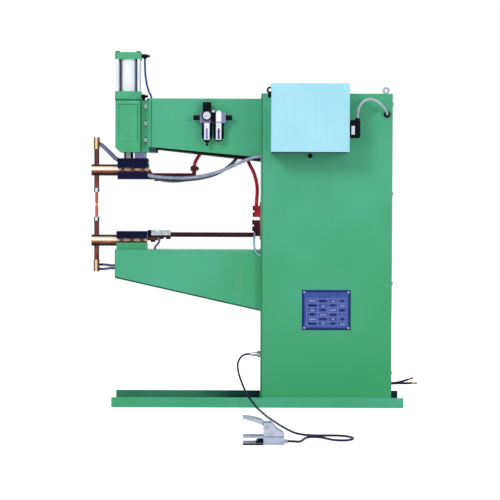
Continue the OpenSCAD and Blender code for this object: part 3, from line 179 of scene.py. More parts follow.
@dataclass(frozen=True)
class Finish:
    """One real surface: its colours, its gloss, and the sizes of its patterns in millimetres.

    Attributes:
        slot: Its material slot.
        name: The material's name.
        colour: Its main colour.
        tint: The colour that its patches pass over to.
        roughness: Its middle roughness.
        patch_mm: The size of a patch of colour, which is three patches of gloss wide.
        spread: How far the roughness strays from the middle.
        metallic: The share of it that is bare metal.
        grain_mm: The size of its grain.
        depth_mm: The height of its grain.
        fineness: How many times finer the grain is along each axis.
        specular: The strength of its shine.
        transmission: The share of light that passes through it.
        ior: Its index of refraction.
    """

    slot: Slot
    name: str
    colour: str
    tint: str
    roughness: float
    patch_mm: float = 60.0
    spread: float = 0.08
    metallic: float = 0.0
    grain_mm: float = 2.0
    depth_mm: float = 0.02
    fineness: tuple[float, float, float] = (1.0, 1.0, 1.0)
    specular: float = 0.5
    transmission: float = 0.0
    ior: float = 1.5

    def paint(self, tree: bpy.types.NodeTree, place: bpy.types.NodeSocket) -> bpy.types.NodeSocket:
        """Gives the colour: slow patches between the two colours."""
        patches = add_node(tree, "ShaderNodeTexNoise", {
            "Vector": place, "Scale": per_metre(self.patch_mm), "Detail": 3.0})
        share = add_node(tree, "ShaderNodeMapRange", {
            "Value": patches.outputs["Fac"], "From Min": PATCH_SPAN[0], "From Max": PATCH_SPAN[1]})
        return add_node(tree, "ShaderNodeMix", {
            MIX_SHARE: share.outputs["Result"], MIX_UNDER: linear(self.colour), MIX_OVER: linear(self.tint)},
            data_type="RGBA").outputs[MIX_RESULT]

    def relief(self, tree: bpy.types.NodeTree, place: bpy.types.NodeSocket) -> bpy.types.NodeSocket:
        """Gives the height of the surface's grain, from 0 to 1."""
        drawn = add_node(tree, "ShaderNodeMapping", {"Vector": place, "Scale": self.fineness})
        grain = add_node(tree, "ShaderNodeTexNoise", {
            "Vector": drawn.outputs["Vector"], "Scale": per_metre(self.grain_mm), "Detail": 2.0})
        return grain.outputs["Fac"]

    def make(self) -> bpy.types.Material:
        """Builds the material.

        Returns:
            A new material with this finish's nodes.
        """
        material = bpy.data.materials.new(self.name)
        material.use_nodes = True
        tree = material.node_tree
        tree.nodes.clear()
        place = add_node(tree, "ShaderNodeTexCoord").outputs["Object"]
        bump = add_node(tree, "ShaderNodeBump", {
            "Height": self.relief(tree, place), "Strength": 1.0, "Distance": self.depth_mm * MM})
        wear = add_node(tree, "ShaderNodeTexNoise", {
            "Vector": place, "Scale": per_metre(self.patch_mm / 3), "Detail": 3.0})
        gloss = add_node(tree, "ShaderNodeMapRange", {
            "Value": wear.outputs["Fac"], "From Min": WEAR_SPAN[0], "From Max": WEAR_SPAN[1],
            "To Min": max(LEAST_ROUGHNESS, self.roughness - self.spread),
            "To Max": self.roughness + self.spread})
        shader = add_node(tree, "ShaderNodeBsdfPrincipled", {
            "Base Color": self.paint(tree, place), "Metallic": self.metallic,
            "Roughness": gloss.outputs["Result"], "IOR": self.ior, "Specular IOR Level": self.specular,
            "Transmission Weight": self.transmission, "Normal": bump.outputs["Normal"]})
        add_node(tree, "ShaderNodeOutputMaterial", {"Surface": shader.outputs["BSDF"]})
        material.diffuse_color = linear(self.colour)
        return material


@dataclass(frozen=True)
class Enamel(Finish):
    """Air-dried alkyd enamel sprayed on steel: even colour, orange peel, dust that has run down in streaks.

    Attributes:
        dust: The colour of the dust.
        streak_mm: The width of a streak.
        streak_squeeze: The streak's width over its length.
        streak_span: The noise at which a streak starts, and at which it is full.
        streak_strength: How much of the colour is dust in a full streak.
    """

    dust: str = "#5D9E86"
    streak_mm: float = 26.0
    streak_squeeze: float = 0.08
    streak_span: tuple[float, float] = (0.56, 0.86)
    streak_strength: float = 0.55

    def paint(self, tree: bpy.types.NodeTree, place: bpy.types.NodeSocket) -> bpy.types.NodeSocket:
        """Gives slow patches of colour with faint upright streaks of dust."""
        down = add_node(tree, "ShaderNodeMapping", {
            "Vector": place, "Scale": (1.0, 1.0, self.streak_squeeze)})
        streak = add_node(tree, "ShaderNodeTexNoise", {
            "Vector": down.outputs["Vector"], "Scale": per_metre(self.streak_mm), "Detail": 4.0})
        share = add_node(tree, "ShaderNodeMapRange", {
            "Value": streak.outputs["Fac"], "From Min": self.streak_span[0], "From Max": self.streak_span[1],
            "To Max": self.streak_strength})
        return add_node(tree, "ShaderNodeMix", {
            MIX_SHARE: share.outputs["Result"], MIX_UNDER: super().paint(tree, place),
            MIX_OVER: linear(self.dust)}, data_type="RGBA").outputs[MIX_RESULT]


@dataclass(frozen=True)
class DeeperBelow(Enamel):
    """Enamel that passes over to a deeper colour low down, more so towards +X.

    Attributes:
        deep: The deep colour.
        pale_mm: The height, along the slope, above which none of it is left.
        deep_mm: The height below which the colour is wholly the deep one.
        slope: How far the fading line rises for each millimetre along X.
    """

    deep: str = "#3AA068"
    pale_mm: float = 430
    deep_mm: float = 20
    slope: float = 0.3

    def paint(self, tree: bpy.types.NodeTree, place: bpy.types.NodeSocket) -> bpy.types.NodeSocket:
        """Fades the deep colour out along a sloping line up the sheet."""
        rise = add_node(tree, "ShaderNodeVectorMath", {
            0: place, 1: (-self.slope, 0, 1)}, operation="DOT_PRODUCT")
        share = add_node(tree, "ShaderNodeMapRange", {
            "Value": rise.outputs["Value"], "From Min": self.pale_mm * MM, "From Max": self.deep_mm * MM})
        return add_node(tree, "ShaderNodeMix", {
            MIX_SHARE: share.outputs["Result"], MIX_UNDER: super().paint(tree, place),
            MIX_OVER: linear(self.deep)}, data_type="RGBA").outputs[MIX_RESULT]


@dataclass(frozen=True)
class Shaded(Finish):
    """Paint that darkens along X into a dark colour: a painted shadow.

    Attributes:
        deep: The darkest colour of the painted shadow.
        span_mm: The places along X where the painted shadow starts and where it is full.
    """

    deep: str = "#0C3038"
    span_mm: tuple[float, float] = (-330, -20)

    def paint(self, tree: bpy.types.NodeTree, place: bpy.types.NodeSocket) -> bpy.types.NodeSocket:
        """Gives slow patches of colour that pass over to the painted shadow's colour."""
        across = add_node(tree, "ShaderNodeSeparateXYZ", {0: place}).outputs["X"]
        share = add_node(tree, "ShaderNodeMapRange", {
            "Value": across, "From Min": self.span_mm[0] * MM, "From Max": self.span_mm[1] * MM})
        return add_node(tree, "ShaderNodeMix", {
            MIX_SHARE: share.outputs["Result"], MIX_UNDER: super().paint(tree, place),
            MIX_OVER: linear(self.deep)}, data_type="RGBA").outputs[MIX_RESULT]


@dataclass(frozen=True)
class Banded(Finish):
    """A finish with bands of painted light and shade: other colours where the surface leans along an axis.

    Attributes:
        bands: Each band's hex colour, its middle on the normal's part along the axis, how far off the
            middle it is full, how far off it ends, and its strength.
        lean: The axis.
    """

    bands: Sequence[tuple[str, float, float, float, float]] = ()
    lean: Axis = Axis.Z

    def paint(self, tree: bpy.types.NodeTree, place: bpy.types.NodeSocket) -> bpy.types.NodeSocket:
        """Gives slow patches of colour under the bands."""
        return self.banded(tree, super().paint(tree, place))

    def banded(self, tree: bpy.types.NodeTree, colour: bpy.types.NodeSocket) -> bpy.types.NodeSocket:
        """Lays the bands over a colour.

        Args:
            tree: The material's nodes.
            colour: The colour below.

        Returns:
            The colour with the bands.
        """
        way = add_node(tree, "ShaderNodeTexCoord").outputs["Normal"]
        part = add_node(tree, "ShaderNodeSeparateXYZ", {0: way}).outputs[self.lean.name]
        for code, middle, full, end, strength in self.bands:
            off = add_node(tree, "ShaderNodeMath", {0: part, 1: middle}, operation="SUBTRACT").outputs[0]
            far = add_node(tree, "ShaderNodeMath", {0: off}, operation="ABSOLUTE").outputs[0]
            share = add_node(tree, "ShaderNodeMapRange", {
                "Value": far, "From Min": full, "From Max": end, "To Min": strength, "To Max": 0.0})
            colour = add_node(tree, "ShaderNodeMix", {
                MIX_SHARE: share.outputs["Result"], MIX_UNDER: colour, MIX_OVER: linear(code)},
                data_type="RGBA").outputs[MIX_RESULT]
        return colour


@dataclass(frozen=True)
class CopperBar(Banded):
    """Drawn electrolytic copper that welding heat has tinted: orange, brown oxide and dusky purple, with a
    band of painted shade along its underside unless other bands are given.

    Attributes:
        oxide: The colour of the oxide.
        heat: The noise at which the oxide ends, the main colour is full and the second one is full.
    """

    oxide: str = "#5E332C"
    heat: tuple[float, float, float] = (0.3, 0.48, 0.7)
    # The default band is painted shade on faces that look down.
    bands: Sequence[tuple[str, float, float, float, float]] = (("#1E0E0C", -1.0, 0.29, 0.98, 0.92),)

    def paint(self, tree: bpy.types.NodeTree, place: bpy.types.NodeSocket) -> bpy.types.NodeSocket:
        """Gives blotches of heat tint under the bands."""
        blotches = add_node(tree, "ShaderNodeTexNoise", {
            "Vector": place, "Scale": per_metre(self.patch_mm), "Detail": 5.0})
        metal = linear(self.oxide)
        for start, end, code in zip(self.heat, self.heat[1:], (self.colour, self.tint)):
            share = add_node(tree, "ShaderNodeMapRange", {
                "Value": blotches.outputs["Fac"], "From Min": start, "From Max": end})
            metal = add_node(tree, "ShaderNodeMix", {
                MIX_SHARE: share.outputs["Result"], MIX_UNDER: metal, MIX_OVER: linear(code)},
                data_type="RGBA").outputs[MIX_RESULT]
        return self.banded(tree, metal)


@dataclass(frozen=True)
class Laminate(Finish):
    """A stack of thin sheets that shows its edges as fine dark lines.

    Attributes:
        sheet_mm: The thickness of a sheet.
        gap: The colour of the gaps.
        gap_span: The height of the wave at which a gap ends, and at which the sheet is clear of it.
        stack: The axis that the sheets are stacked along.
    """

    sheet_mm: float = 1.6
    gap: str = "#5A5856"
    gap_span: tuple[float, float] = (0.08, 0.3)
    stack: Axis = Axis.Z

    def paint(self, tree: bpy.types.NodeTree, place: bpy.types.NodeSocket) -> bpy.types.NodeSocket:
        """Gives one dark line for each gap between sheets."""
        waves = add_node(tree, "ShaderNodeTexWave", {
            "Vector": place, "Scale": per_metre(self.sheet_mm) * WAVE, "Distortion": 0.3},
            bands_direction=self.stack.name)
        lines = add_node(tree, "ShaderNodeMapRange", {
            "Value": waves.outputs["Fac"], "From Min": self.gap_span[0], "From Max": self.gap_span[1]})
        return add_node(tree, "ShaderNodeMix", {
            MIX_SHARE: lines.outputs["Result"], MIX_UNDER: linear(self.gap),
            MIX_OVER: super().paint(tree, place)}, data_type="RGBA").outputs[MIX_RESULT]


@dataclass(frozen=True)
class Fabric(Finish):
    """Glass tape wound on a coil and soaked in varnish: bands of tape that lap over each other.

    Attributes:
        tape_mm: The width of the tape.
    """

    tape_mm: float = 18.0

    def relief(self, tree: bpy.types.NodeTree, place: bpy.types.NodeSocket) -> bpy.types.NodeSocket:
        """Gives the lapped edges of the tape."""
        return add_node(tree, "ShaderNodeTexWave", {
            "Vector": place, "Scale": per_metre(self.tape_mm) * WAVE, "Distortion": 1.0, "Detail": 2.0},
            bands_direction="Z", wave_profile="SAW").outputs["Fac"]


# Sprayed machine enamel: semi-gloss, with an orange peel about 3 mm across.
GREEN = Enamel(Slot.GREEN, "sprayed_green_enamel", "#44A577", "#50AF8C", 0.36, patch_mm=380, spread=0.05,
               grain_mm=3.2, depth_mm=0.03, specular=0.2)
# The column's enamel, which is deeper near its foot.
COLUMN_GREEN = DeeperBelow(Slot.GREEN, "green_enamel_deeper_below", "#44A577", "#50AF8C", 0.36, patch_mm=380,
                        spread=0.05, grain_mm=3.2, depth_mm=0.03, specular=0.2)
# The same enamel over a sand casting, whose skin shows through as a coarse grain.
GREEN_CAST = Enamel(Slot.GREEN, "enamelled_sand_casting", "#42A575", "#50B085", 0.42, patch_mm=70,
                    spread=0.08, grain_mm=2.6, depth_mm=0.14, specular=0.2)
# The enamel darkened as painted shade along edges, along a seam and round the sunk panel.
SEAM_AND_EDGE_SHADE = Enamel(Slot.GREEN, "green_seam_and_edge_painted_shade", "#2C7A5C", "#378A68", 0.5, patch_mm=30, spread=0.08,
                    grain_mm=2.6, depth_mm=0.1, specular=0.12, dust="#2A6A54")
# Black painted shadow on the underside of the upper arm and in a band along its lower edge.
SHADE_PAINT = Finish(Slot.GREEN, "black_painted_shadow", "#040808", "#0A1012", 0.6, patch_mm=40,
                     grain_mm=3.0, depth_mm=0.06, specular=0.03)
# Dark blue-green painted shade: under the upper arm's tip, in the joint under the cylinder's bottom cap and
# under the control box.
DARK_SHADE = Finish(Slot.GREEN, "dark_painted_shade", "#12343A", "#1C4448", 0.55, patch_mm=60, grain_mm=2.4,
                depth_mm=0.04, specular=0.2)
# Green inside the rear rail, with a painted shadow that deepens towards the column.
RAIL_SHADOW = Shaded(Slot.GREEN, "green_rail_painted_shadow", "#347C62", "#3C8C70", 0.5, patch_mm=90, grain_mm=2.4,
                   depth_mm=0.04, specular=0.12)
# Enamel darkened as painted shade along an edge: the column's left edge and the lower arm's lower edge.
GREEN_EDGE_SHADE = Finish(Slot.GREEN, "green_edge_painted_shade", "#184E3E", "#22604C", 0.5, patch_mm=50, grain_mm=2.4,
                   depth_mm=0.04, specular=0.1)
# Powder-coated cabinet sheet: paler, smoother, with a finer peel.
PALE_BLUE = Enamel(Slot.PALE_BLUE, "pale_blue_powder_coat", "#9FDCEE", "#ABE5F4", 0.38, patch_mm=260,
                   spread=0.05, grain_mm=1.8, depth_mm=0.02, specular=0.25, dust="#94CFE2")
# Blackened steel: a dull oiled oxide with a navy cast and rubbed patches.
BLACK_STEEL = Finish(Slot.BLACK_STEEL, "blackened_steel", "#07082A", "#10123A", 0.44, patch_mm=14,
                     spread=0.12, grain_mm=1.2, depth_mm=0.03, specular=0.07)
# Zinc-plated fasteners: pale grey metal, slightly uneven plating.
BOLT = Finish(Slot.BOLT, "zinc_plated_steel", "#A9ABB2", "#8A8D96", 0.3, patch_mm=7, metallic=1.0,
              grain_mm=0.8, depth_mm=0.01)
# Ground and chromed rod: grinding lines run round it, drawn coarse enough to show.
GROUND = Finish(Slot.GROUND, "ground_chromed_steel", "#7C84A6", "#646C92", 0.22, patch_mm=20, spread=0.06,
                metallic=1.0, grain_mm=6.0, depth_mm=0.006, fineness=(1.0, 1.0, 12.0))
# Drawn aluminium tube and milled caps with a satin anodised skin: almost white.
CYLINDER = Finish(Slot.CYLINDER, "satin_anodised_aluminium", "#E9ECF2", "#D9DDE5", 0.36, patch_mm=45,
                  spread=0.06, metallic=0.25, grain_mm=5.0, depth_mm=0.008, fineness=(1.0, 1.0, 10.0))
# Polished cylinder tube with a painted reflection: white along its middle, with a dark band along each flank.
TUBE = Banded(Slot.CYLINDER, "polished_cylinder_tube", "#F6F8FC", "#E9EDF4", 0.32, patch_mm=45, spread=0.06,
              grain_mm=5.0, depth_mm=0.008, fineness=(1.0, 1.0, 10.0), specular=0.1, lean=Axis.X,
              bands=(("#0C1244", -1.0, 0.25, 0.48, 0.97), ("#323A76", 1.0, 0.22, 0.42, 0.94)))
# Chromed piston rod with a painted reflection: bright along its middle, dark at both flanks.
CHROME = Banded(Slot.GROUND, "chromed_piston_rod", "#E6E8F6", "#D2D6EC", 0.26, patch_mm=20, spread=0.06,
                grain_mm=6.0, depth_mm=0.006, fineness=(1.0, 1.0, 12.0), specular=0.1, lean=Axis.X,
                bands=(("#04051C", -1.0, 0.42, 0.58, 0.97), ("#04051C", 1.0, 0.46, 0.62, 0.97)))
# Die-cast aluminium, tumbled: fine grain and grey patches.
CAST = Finish(Slot.CAST, "tumbled_die_cast_aluminium", "#B4B8CE", "#A0A5BE", 0.42, patch_mm=18, spread=0.1,
              metallic=0.45, grain_mm=1.0, depth_mm=0.05)
# The dark joint of the foot switch's two castings.
JOINT = Finish(Slot.CAST, "castings_joint", "#4C527E", "#5C628E", 0.5, patch_mm=12, grain_mm=1.0,
               depth_mm=0.03, specular=0.15)
# The air set's die casting: dull and dark, as it is out of the mould.
DULL_CAST = Finish(Slot.CAST, "dull_die_cast_zinc", "#6A6E96", "#8C90B4", 0.4, patch_mm=16, spread=0.1,
                   metallic=0.3, grain_mm=1.0, depth_mm=0.05, specular=0.35)
# Drawn copper bar with welding heat tint, and a band of painted shade along its underside.
COPPER = CopperBar(Slot.COPPER, "heat_tinted_copper", "#8C4630", "#AE6A44", 0.3, patch_mm=34, spread=0.1,
                   metallic=0.8, grain_mm=4.0, depth_mm=0.015, fineness=(0.2, 4.0, 4.0), oxide="#5C2C26")
# Electrode tips: pinker, bitten by the welding, with painted shade along both flanks.
TIP = CopperBar(Slot.COPPER, "pitted_tip_copper", "#B65C4C", "#D08470", 0.34, patch_mm=9, spread=0.1,
                metallic=0.4, specular=0.2, grain_mm=1.2, depth_mm=0.06, oxide="#94443E", lean=Axis.X,
                bands=(("#6A2C40", -1.0, 0.15, 0.5, 0.8), ("#6A2C40", 1.0, 0.15, 0.5, 0.8)))
# The same bar with a painted highlight along its upper flank and painted shade along its top and bottom.
COPPER_PAINTED_LIGHT = CopperBar(Slot.COPPER, "copper_painted_highlight_and_shade", "#9A5232", "#B87A52", 0.32, patch_mm=34, spread=0.1,
                        metallic=0.25, specular=0.12, grain_mm=4.0, depth_mm=0.015, fineness=(0.2, 4.0, 4.0),
                        oxide="#7A4230",
                        bands=(("#FFF0DA", 0.26, 0.18, 0.44, 0.95), ("#140810", -1.0, 0.36, 0.75, 0.98),
                               ("#140812", 1.0, 0.28, 0.42, 0.98)))
# Copper near the joints, where heat has browned it, with a band of painted shade along its underside.
BROWNED = CopperBar(Slot.COPPER, "browned_copper", "#5C342A", "#80503E", 0.4, patch_mm=12, spread=0.1,
                    metallic=0.2, specular=0.15, grain_mm=3.0, depth_mm=0.02, oxide="#3A2022")
# Electrode holder: drawn copper tube gone dusky with heat, with painted shade along its flanks.
HOLDER = CopperBar(Slot.BRASS, "dusky_copper_tube", "#6E3832", "#98462E", 0.32, patch_mm=26, spread=0.1,
                   metallic=0.3, specular=0.15, grain_mm=3.0, depth_mm=0.012, fineness=(4.0, 4.0, 0.3),
                   oxide="#5A3040", lean=Axis.X,
                   bands=(("#1C0E26", -1.0, 0.22, 0.5, 0.92), ("#1C0E26", 1.0, 0.25, 0.55, 0.9)))
# Turned brass: yellow metal with fine turning lines, dulled by handling, with a painted highlight down its
# middle and painted shade along its flanks.
BRASS = Banded(Slot.BRASS, "turned_brass", "#B4794A", "#9A6240", 0.28, patch_mm=10, metallic=0.3,
               specular=0.15, grain_mm=3.0, depth_mm=0.01, fineness=(1.0, 1.0, 8.0), lean=Axis.X,
               bands=(("#F0DCC0", -0.12, 0.12, 0.42, 0.95), ("#2A1428", -1.0, 0.22, 0.46, 0.95),
                      ("#3A1C26", 1.0, 0.25, 0.5, 0.9)))
# Tinned copper foils: grey-white leaves.
FOIL = Finish(Slot.FOIL, "tinned_copper_foils", "#D8E2E2", "#8A949C", 0.38, patch_mm=22, metallic=0.3,
              grain_mm=1.0, depth_mm=0.02)
# Red PVC sleeve: soft gloss, a little dusty.
SLEEVE = Finish(Slot.SLEEVE, "red_pvc_sleeve", "#A81430", "#C83048", 0.4, patch_mm=26, grain_mm=1.5,
                depth_mm=0.03, specular=0.15)
# The same sleeve on the bars and the lower terminal, browned by heat.
DARK_SLEEVE = Finish(Slot.SLEEVE, "heat_browned_sleeve", "#2E0C1A", "#4C1626", 0.44, patch_mm=60,
                     grain_mm=1.5, depth_mm=0.03, specular=0.12)
# Grey water hose: rubber with a soft shine.
HOSE = Finish(Slot.HOSE, "grey_rubber_hose", "#9AA2BC", "#7C84A2", 0.34, patch_mm=22, grain_mm=1.0,
              depth_mm=0.04)
# The second water hose: the same rubber, painted dark as the shadow that the first hose throws on it.
HOSE_IN_SHADOW = Finish(Slot.HOSE, "grey_hose_painted_shadow", "#4A4C62", "#34364C", 0.42, patch_mm=22, grain_mm=1.0,
                    depth_mm=0.04, specular=0.3)
# Dusky blue hose on the upper holder.
BLUE_HOSE = Finish(Slot.HOSE, "dusky_blue_hose", "#70749E", "#5C608C", 0.4, patch_mm=22, grain_mm=1.0,
                   depth_mm=0.04)
# Navy hose on the lower holder and along the lower arm.
DARK_HOSE = Finish(Slot.HOSE, "navy_hose", "#2A2E66", "#3C4486", 0.34, patch_mm=16, grain_mm=1.0,
                   depth_mm=0.04)
# Pale cooling-water return hose, with painted shade along both flanks.
PALE_HOSE = Banded(Slot.HOSE, "pale_blue_hose", "#A8C8DA", "#8CB0C8", 0.3, patch_mm=22, grain_mm=2.0,
                   depth_mm=0.02, specular=0.2, lean=Axis.X,
                   bands=(("#22406C", -1.0, 0.2, 0.6, 0.9), ("#22406C", 1.0, 0.2, 0.5, 0.9)))
# Blue nylon air tube: smooth, slightly shiny.
AIR_TUBE = Finish(Slot.HOSE, "blue_nylon_tube", "#12348E", "#1E4CB2", 0.28, patch_mm=22, grain_mm=3.0,
                  depth_mm=0.01, specular=0.2)
# Black moulded phenolic: fine spark texture.
PLASTIC = Finish(Slot.PLASTIC, "black_moulded_phenolic", "#060612", "#0E0E1C", 0.42, patch_mm=9, grain_mm=0.7,
                 depth_mm=0.03, specular=0.06)
# Black PVC cord sheath, dusty from the floor.
SHEATH = Finish(Slot.SHEATH, "black_pvc_sheath", "#131134", "#211D46", 0.5, patch_mm=14, grain_mm=1.2,
                depth_mm=0.03, specular=0.15)
# Grey PVC control cable.
GREY_SHEATH = Finish(Slot.SHEATH, "grey_pvc_sheath", "#B4C0CC", "#98A4B6", 0.42, patch_mm=16, grain_mm=1.2,
                     depth_mm=0.03)
# Paper-phenolic board: brown resin with a cloth grain.
BOARD = Finish(Slot.BOARD, "paper_phenolic_board", "#7A4A2C", "#8F5C3A", 0.48, patch_mm=8, grain_mm=0.9,
               depth_mm=0.02)
# Silicon steel laminations of the transformer core.
CORE = Laminate(Slot.CORE, "silicon_steel_laminations", "#55575C", "#6A6D73", 0.5, patch_mm=30, metallic=0.8,
                sheet_mm=3.0, gap="#2A2B2E", stack=Axis.X)
# Varnished glass tape on the windings.
WINDING = Fabric(Slot.COPPER, "varnished_glass_tape", "#8A5A2E", "#A87440", 0.4, patch_mm=25, depth_mm=0.4)
# White lacquered dial and moulded white nylon: plain and matt.
WHITE = Finish(Slot.BOWL, "white_lacquer", "#FBFBFD", "#F2F3F7", 0.4, patch_mm=9, grain_mm=0.8, depth_mm=0.01)
# Milky polycarbonate of the bowls, with what stands in them showing through the sight slots.
MILKY = Finish(Slot.BOWL, "milky_polycarbonate", "#F0F1FA", "#DDDFF2", 0.24, patch_mm=14, spread=0.06,
               grain_mm=4.0, depth_mm=0.01)
SIGHT = Finish(Slot.BOWL, "oil_behind_the_slot", "#8484BE", "#6666A6", 0.2, patch_mm=9, grain_mm=3.0,
               depth_mm=0.01)
DARK_SIGHT = Finish(Slot.BOWL, "dark_oil_behind_the_slot", "#1A1A44", "#2A2A58", 0.2, patch_mm=9,
                    grain_mm=3.0, depth_mm=0.01)
# Screen-printed aluminium plate: blue-violet ink with a darker border.
PLATE = Finish(Slot.PLATE, "blue_printed_aluminium", "#374B96", "#4359A4", 0.4, patch_mm=24, grain_mm=1.0,
               depth_mm=0.01, specular=0.2)
PLATE_EDGE = Finish(Slot.PLATE, "dark_blue_print", "#0E1A60", "#182670", 0.4, patch_mm=18, grain_mm=1.0,
                    depth_mm=0.01, specular=0.2)
PLATE_RULE = Finish(Slot.PLATE, "bare_plate_lines", "#7286C4", "#8A9CD2", 0.38, patch_mm=10, grain_mm=1.0,
                    depth_mm=0.01, specular=0.3)
# Red lacquer on the gauge's pointer, faded pale by the sun.
RED = Finish(Slot.POINTER, "faded_red_lacquer", "#D29AA6", "#DDB0B8", 0.35, patch_mm=4, grain_mm=0.8,
             depth_mm=0.01)
# Clear mineral glass over the dial.
GLASS = Finish(Slot.BOWL, "gauge_glass", "#FFFFFF", "#F6F9FA", 0.03, patch_mm=30, spread=0.01, grain_mm=12,
               depth_mm=0.002, transmission=1.0, ior=1.45)


def only(piece: bpy.types.Object) -> None:
    """Selects one object alone, in object mode."""
    if bpy.context.mode != "OBJECT":
        bpy.ops.object.mode_set(mode="OBJECT")
    bpy.ops.object.select_all(action="DESELECT")
    piece.select_set(True)
    bpy.context.view_layer.objects.active = piece


@contextmanager
def editing(piece: bpy.types.Object) -> Iterator[None]:
    """Holds a piece in edit mode, with faces to pick and none picked.

    Args:
        piece: The mesh object to shape.
    """
    only(piece)
    bpy.ops.object.mode_set(mode="EDIT")
    bpy.ops.mesh.select_mode(type="FACE")
    bpy.ops.mesh.select_all(action="DESELECT")
    yield
    bpy.ops.object.mode_set(mode="OBJECT")


def pick_faces(piece: bpy.types.Object, test: Callable[[bmesh.types.BMFace], bool]) -> None:
    """Picks the faces that pass a test, in edit mode.

    Args:
        piece: The mesh object, in edit mode.
        test: Says whether a face is picked.
    """
    mesh = bmesh.from_edit_mesh(piece.data)
    for face in mesh.faces:
        face.select_set(test(face))
    bmesh.update_edit_mesh(piece.data)


def facing(axis: Axis, sign: int, share: float = 0.9) -> Callable[[bmesh.types.BMFace], bool]:
    """Gives a test for faces that look along an axis.

    Args:
        axis: The axis.
        sign: 1 for its positive direction and -1 for the other.
        share: How closely a face has to look that way.

    Returns:
        The test, for pick_faces.
    """
    return lambda face: sign * face.normal[axis.value] > share


def to_front(way: Vector, share: float = 0.6) -> bool:
    """Says whether a normal looks to the front, with at least this share of it along -Y."""
    return way.y < -share


def block(name: str, low: Point, high: Point) -> bpy.types.Object:
    """Adds a box between two corners, in millimetres.

    Args:
        name: The piece's name.
        low: The lowest corner.
        high: The highest corner.

    Returns:
        The box, to be shaped further.
    """
    middle = [(a + b) / 2 * MM for a, b in zip(low, high)]
    bpy.ops.object.select_all(action="DESELECT")
    bpy.ops.mesh.primitive_cube_add(size=1, location=middle)
    piece = bpy.context.object
    piece.name = name
    piece.scale = [(b - a) * MM for a, b in zip(low, high)]
    bpy.ops.object.transform_apply(location=True, rotation=True, scale=True)
    return piece


def rod(name: str, start: Point, end: Point, width: float, tip: float | None = None,
        sides: int = 40) -> bpy.types.Object:
    """Adds a round rod or cone from one point to another, in millimetres.

    Args:
        name: The piece's name.
        start: The middle of its first end.
        end: The middle of its last end.
        width: Its diameter at the start.
        tip: Its diameter at the end, or the same where none is given.
        sides: How many faces go round it.

    Returns:
        The rod, to be shaped further.
    """
    a, b = Vector(start) * MM, Vector(end) * MM
    turn = (b - a).to_track_quat("Z", "Y").to_euler()
    bpy.ops.object.select_all(action="DESELECT")
    bpy.ops.mesh.primitive_cone_add(
        vertices=sides, radius1=width / 2 * MM, radius2=(width if tip is None else tip) / 2 * MM,
        depth=(b - a).length, location=(a + b) / 2, rotation=turn)
    piece = bpy.context.object
    piece.name = name
    bpy.ops.object.transform_apply(location=True, rotation=True, scale=True)
    return piece


def turned(name: str, foot: Point, axis: Axis, profile: Sequence[tuple[float, float]],
           sides: int = 40) -> bpy.types.Object:
    """Turns a solid of revolution, ring by ring, by extruding and scaling the end of a thin disc.

    Args:
        name: The piece's name.
        foot: The point that the profile's heights start from, in millimetres.
        axis: The axis of the turning.
        profile: Heights along the axis with diameters, from the foot on.
        sides: How many faces go round it.

    Returns:
        The turned piece.
    """
    along = axis.along()
    base = Vector(foot)
    (h0, d0), (h1, d1) = profile[0], profile[1]
    piece = rod(name, base + along * h0, base + along * h1, d0, d1, sides)
    ahead = facing(axis, 1 if h1 > h0 else -1)
    with editing(piece):
        pick_faces(piece, lambda face: len(face.verts) == sides and ahead(face))
        for (ha, da), (hb, db) in zip(profile[1:], profile[2:]):
            bpy.ops.mesh.extrude_region_move(TRANSFORM_OT_translate={"value": along * (hb - ha) * MM})
            centre = (base + along * hb) * MM
            ratio = db / da
            scale = [1.0 if i == axis.value else ratio for i in range(3)]
            bpy.ops.transform.resize(value=scale, center_override=centre)
    return piece


def crown(piece: bpy.types.Object, rim: float, rise: float) -> None:
    """Raises the front face of a piece inside a rim, by sizes in millimetres."""
    with editing(piece):
        pick_faces(piece, facing(Axis.Y, -1))
        bpy.ops.mesh.inset(thickness=rim * MM, depth=rise * MM)


def part_sloping(piece: bpy.types.Object, level: Vector, square: Vector) -> None:
    """Parts the faces of a piece along a plane, given by a point in millimetres and its normal."""
    with editing(piece):
        bpy.ops.mesh.select_all(action="SELECT")
        bpy.ops.mesh.bisect(plane_co=level * MM, plane_no=square)


def part_faces(piece: bpy.types.Object, axis: Axis, place: float) -> None:
    """Parts the faces of a piece along a plane square to an axis, at a place in millimetres."""
    part_sloping(piece, axis.along() * place, axis.along())


def soften(piece: bpy.types.Object, edge_mm: float, segments: int = 2, angle: float = 35.0) -> None:
    """Rounds the sharp edges of a piece with a bevel that is applied.

    Args:
        piece: The mesh object.
        edge_mm: The bevel's width.
        segments: How many faces the rounding has.
        angle: The least angle between faces, in degrees, that counts as sharp.
    """
    only(piece)
    bevel = piece.modifiers.new("edges", "BEVEL")
    bevel.width = edge_mm * MM
    bevel.segments = segments
    bevel.limit_method = "ANGLE"
    bevel.angle_limit = math.radians(angle)
    bevel.use_clamp_overlap = True
    bpy.ops.object.modifier_apply(modifier=bevel.name)


def fuse(name: str, parts: Sequence[bpy.types.Object]) -> bpy.types.Object:
    """Joins several objects into one piece.

    Args:
        name: The piece's name.
        parts: The objects, the first of which stays.

    Returns:
        The joined piece.
    """
    only(parts[0])
    for part in parts[1:]:
        part.select_set(True)
    if len(parts) > 1:
        bpy.ops.object.join()
    parts[0].name = name
    return parts[0]


def smooth_route(points: Sequence[Point], steps: int) -> list[Vector]:
    """Runs a Catmull-Rom curve through points, as the part's source does.

    Args:
        points: The route's points.
        steps: How many stretches lie between two points.

    Returns:
        The points of the curve, in the units of the route.
    """
    route = [Vector(p) for p in points]
    last = len(route) - 1
    curve = []
    for i in range(last):
        a, b, c, d = route[max(i - 1, 0)], route[i], route[i + 1], route[min(i + 2, last)]
        for k in range(steps):
            t = k / steps
            curve.append(0.5 * (2 * b + (c - a) * t + (2 * a - 5 * b + 4 * c - d) * t ** 2
                                + (3 * b - a - 3 * c + d) * t ** 3))
    return curve + [route[last]]


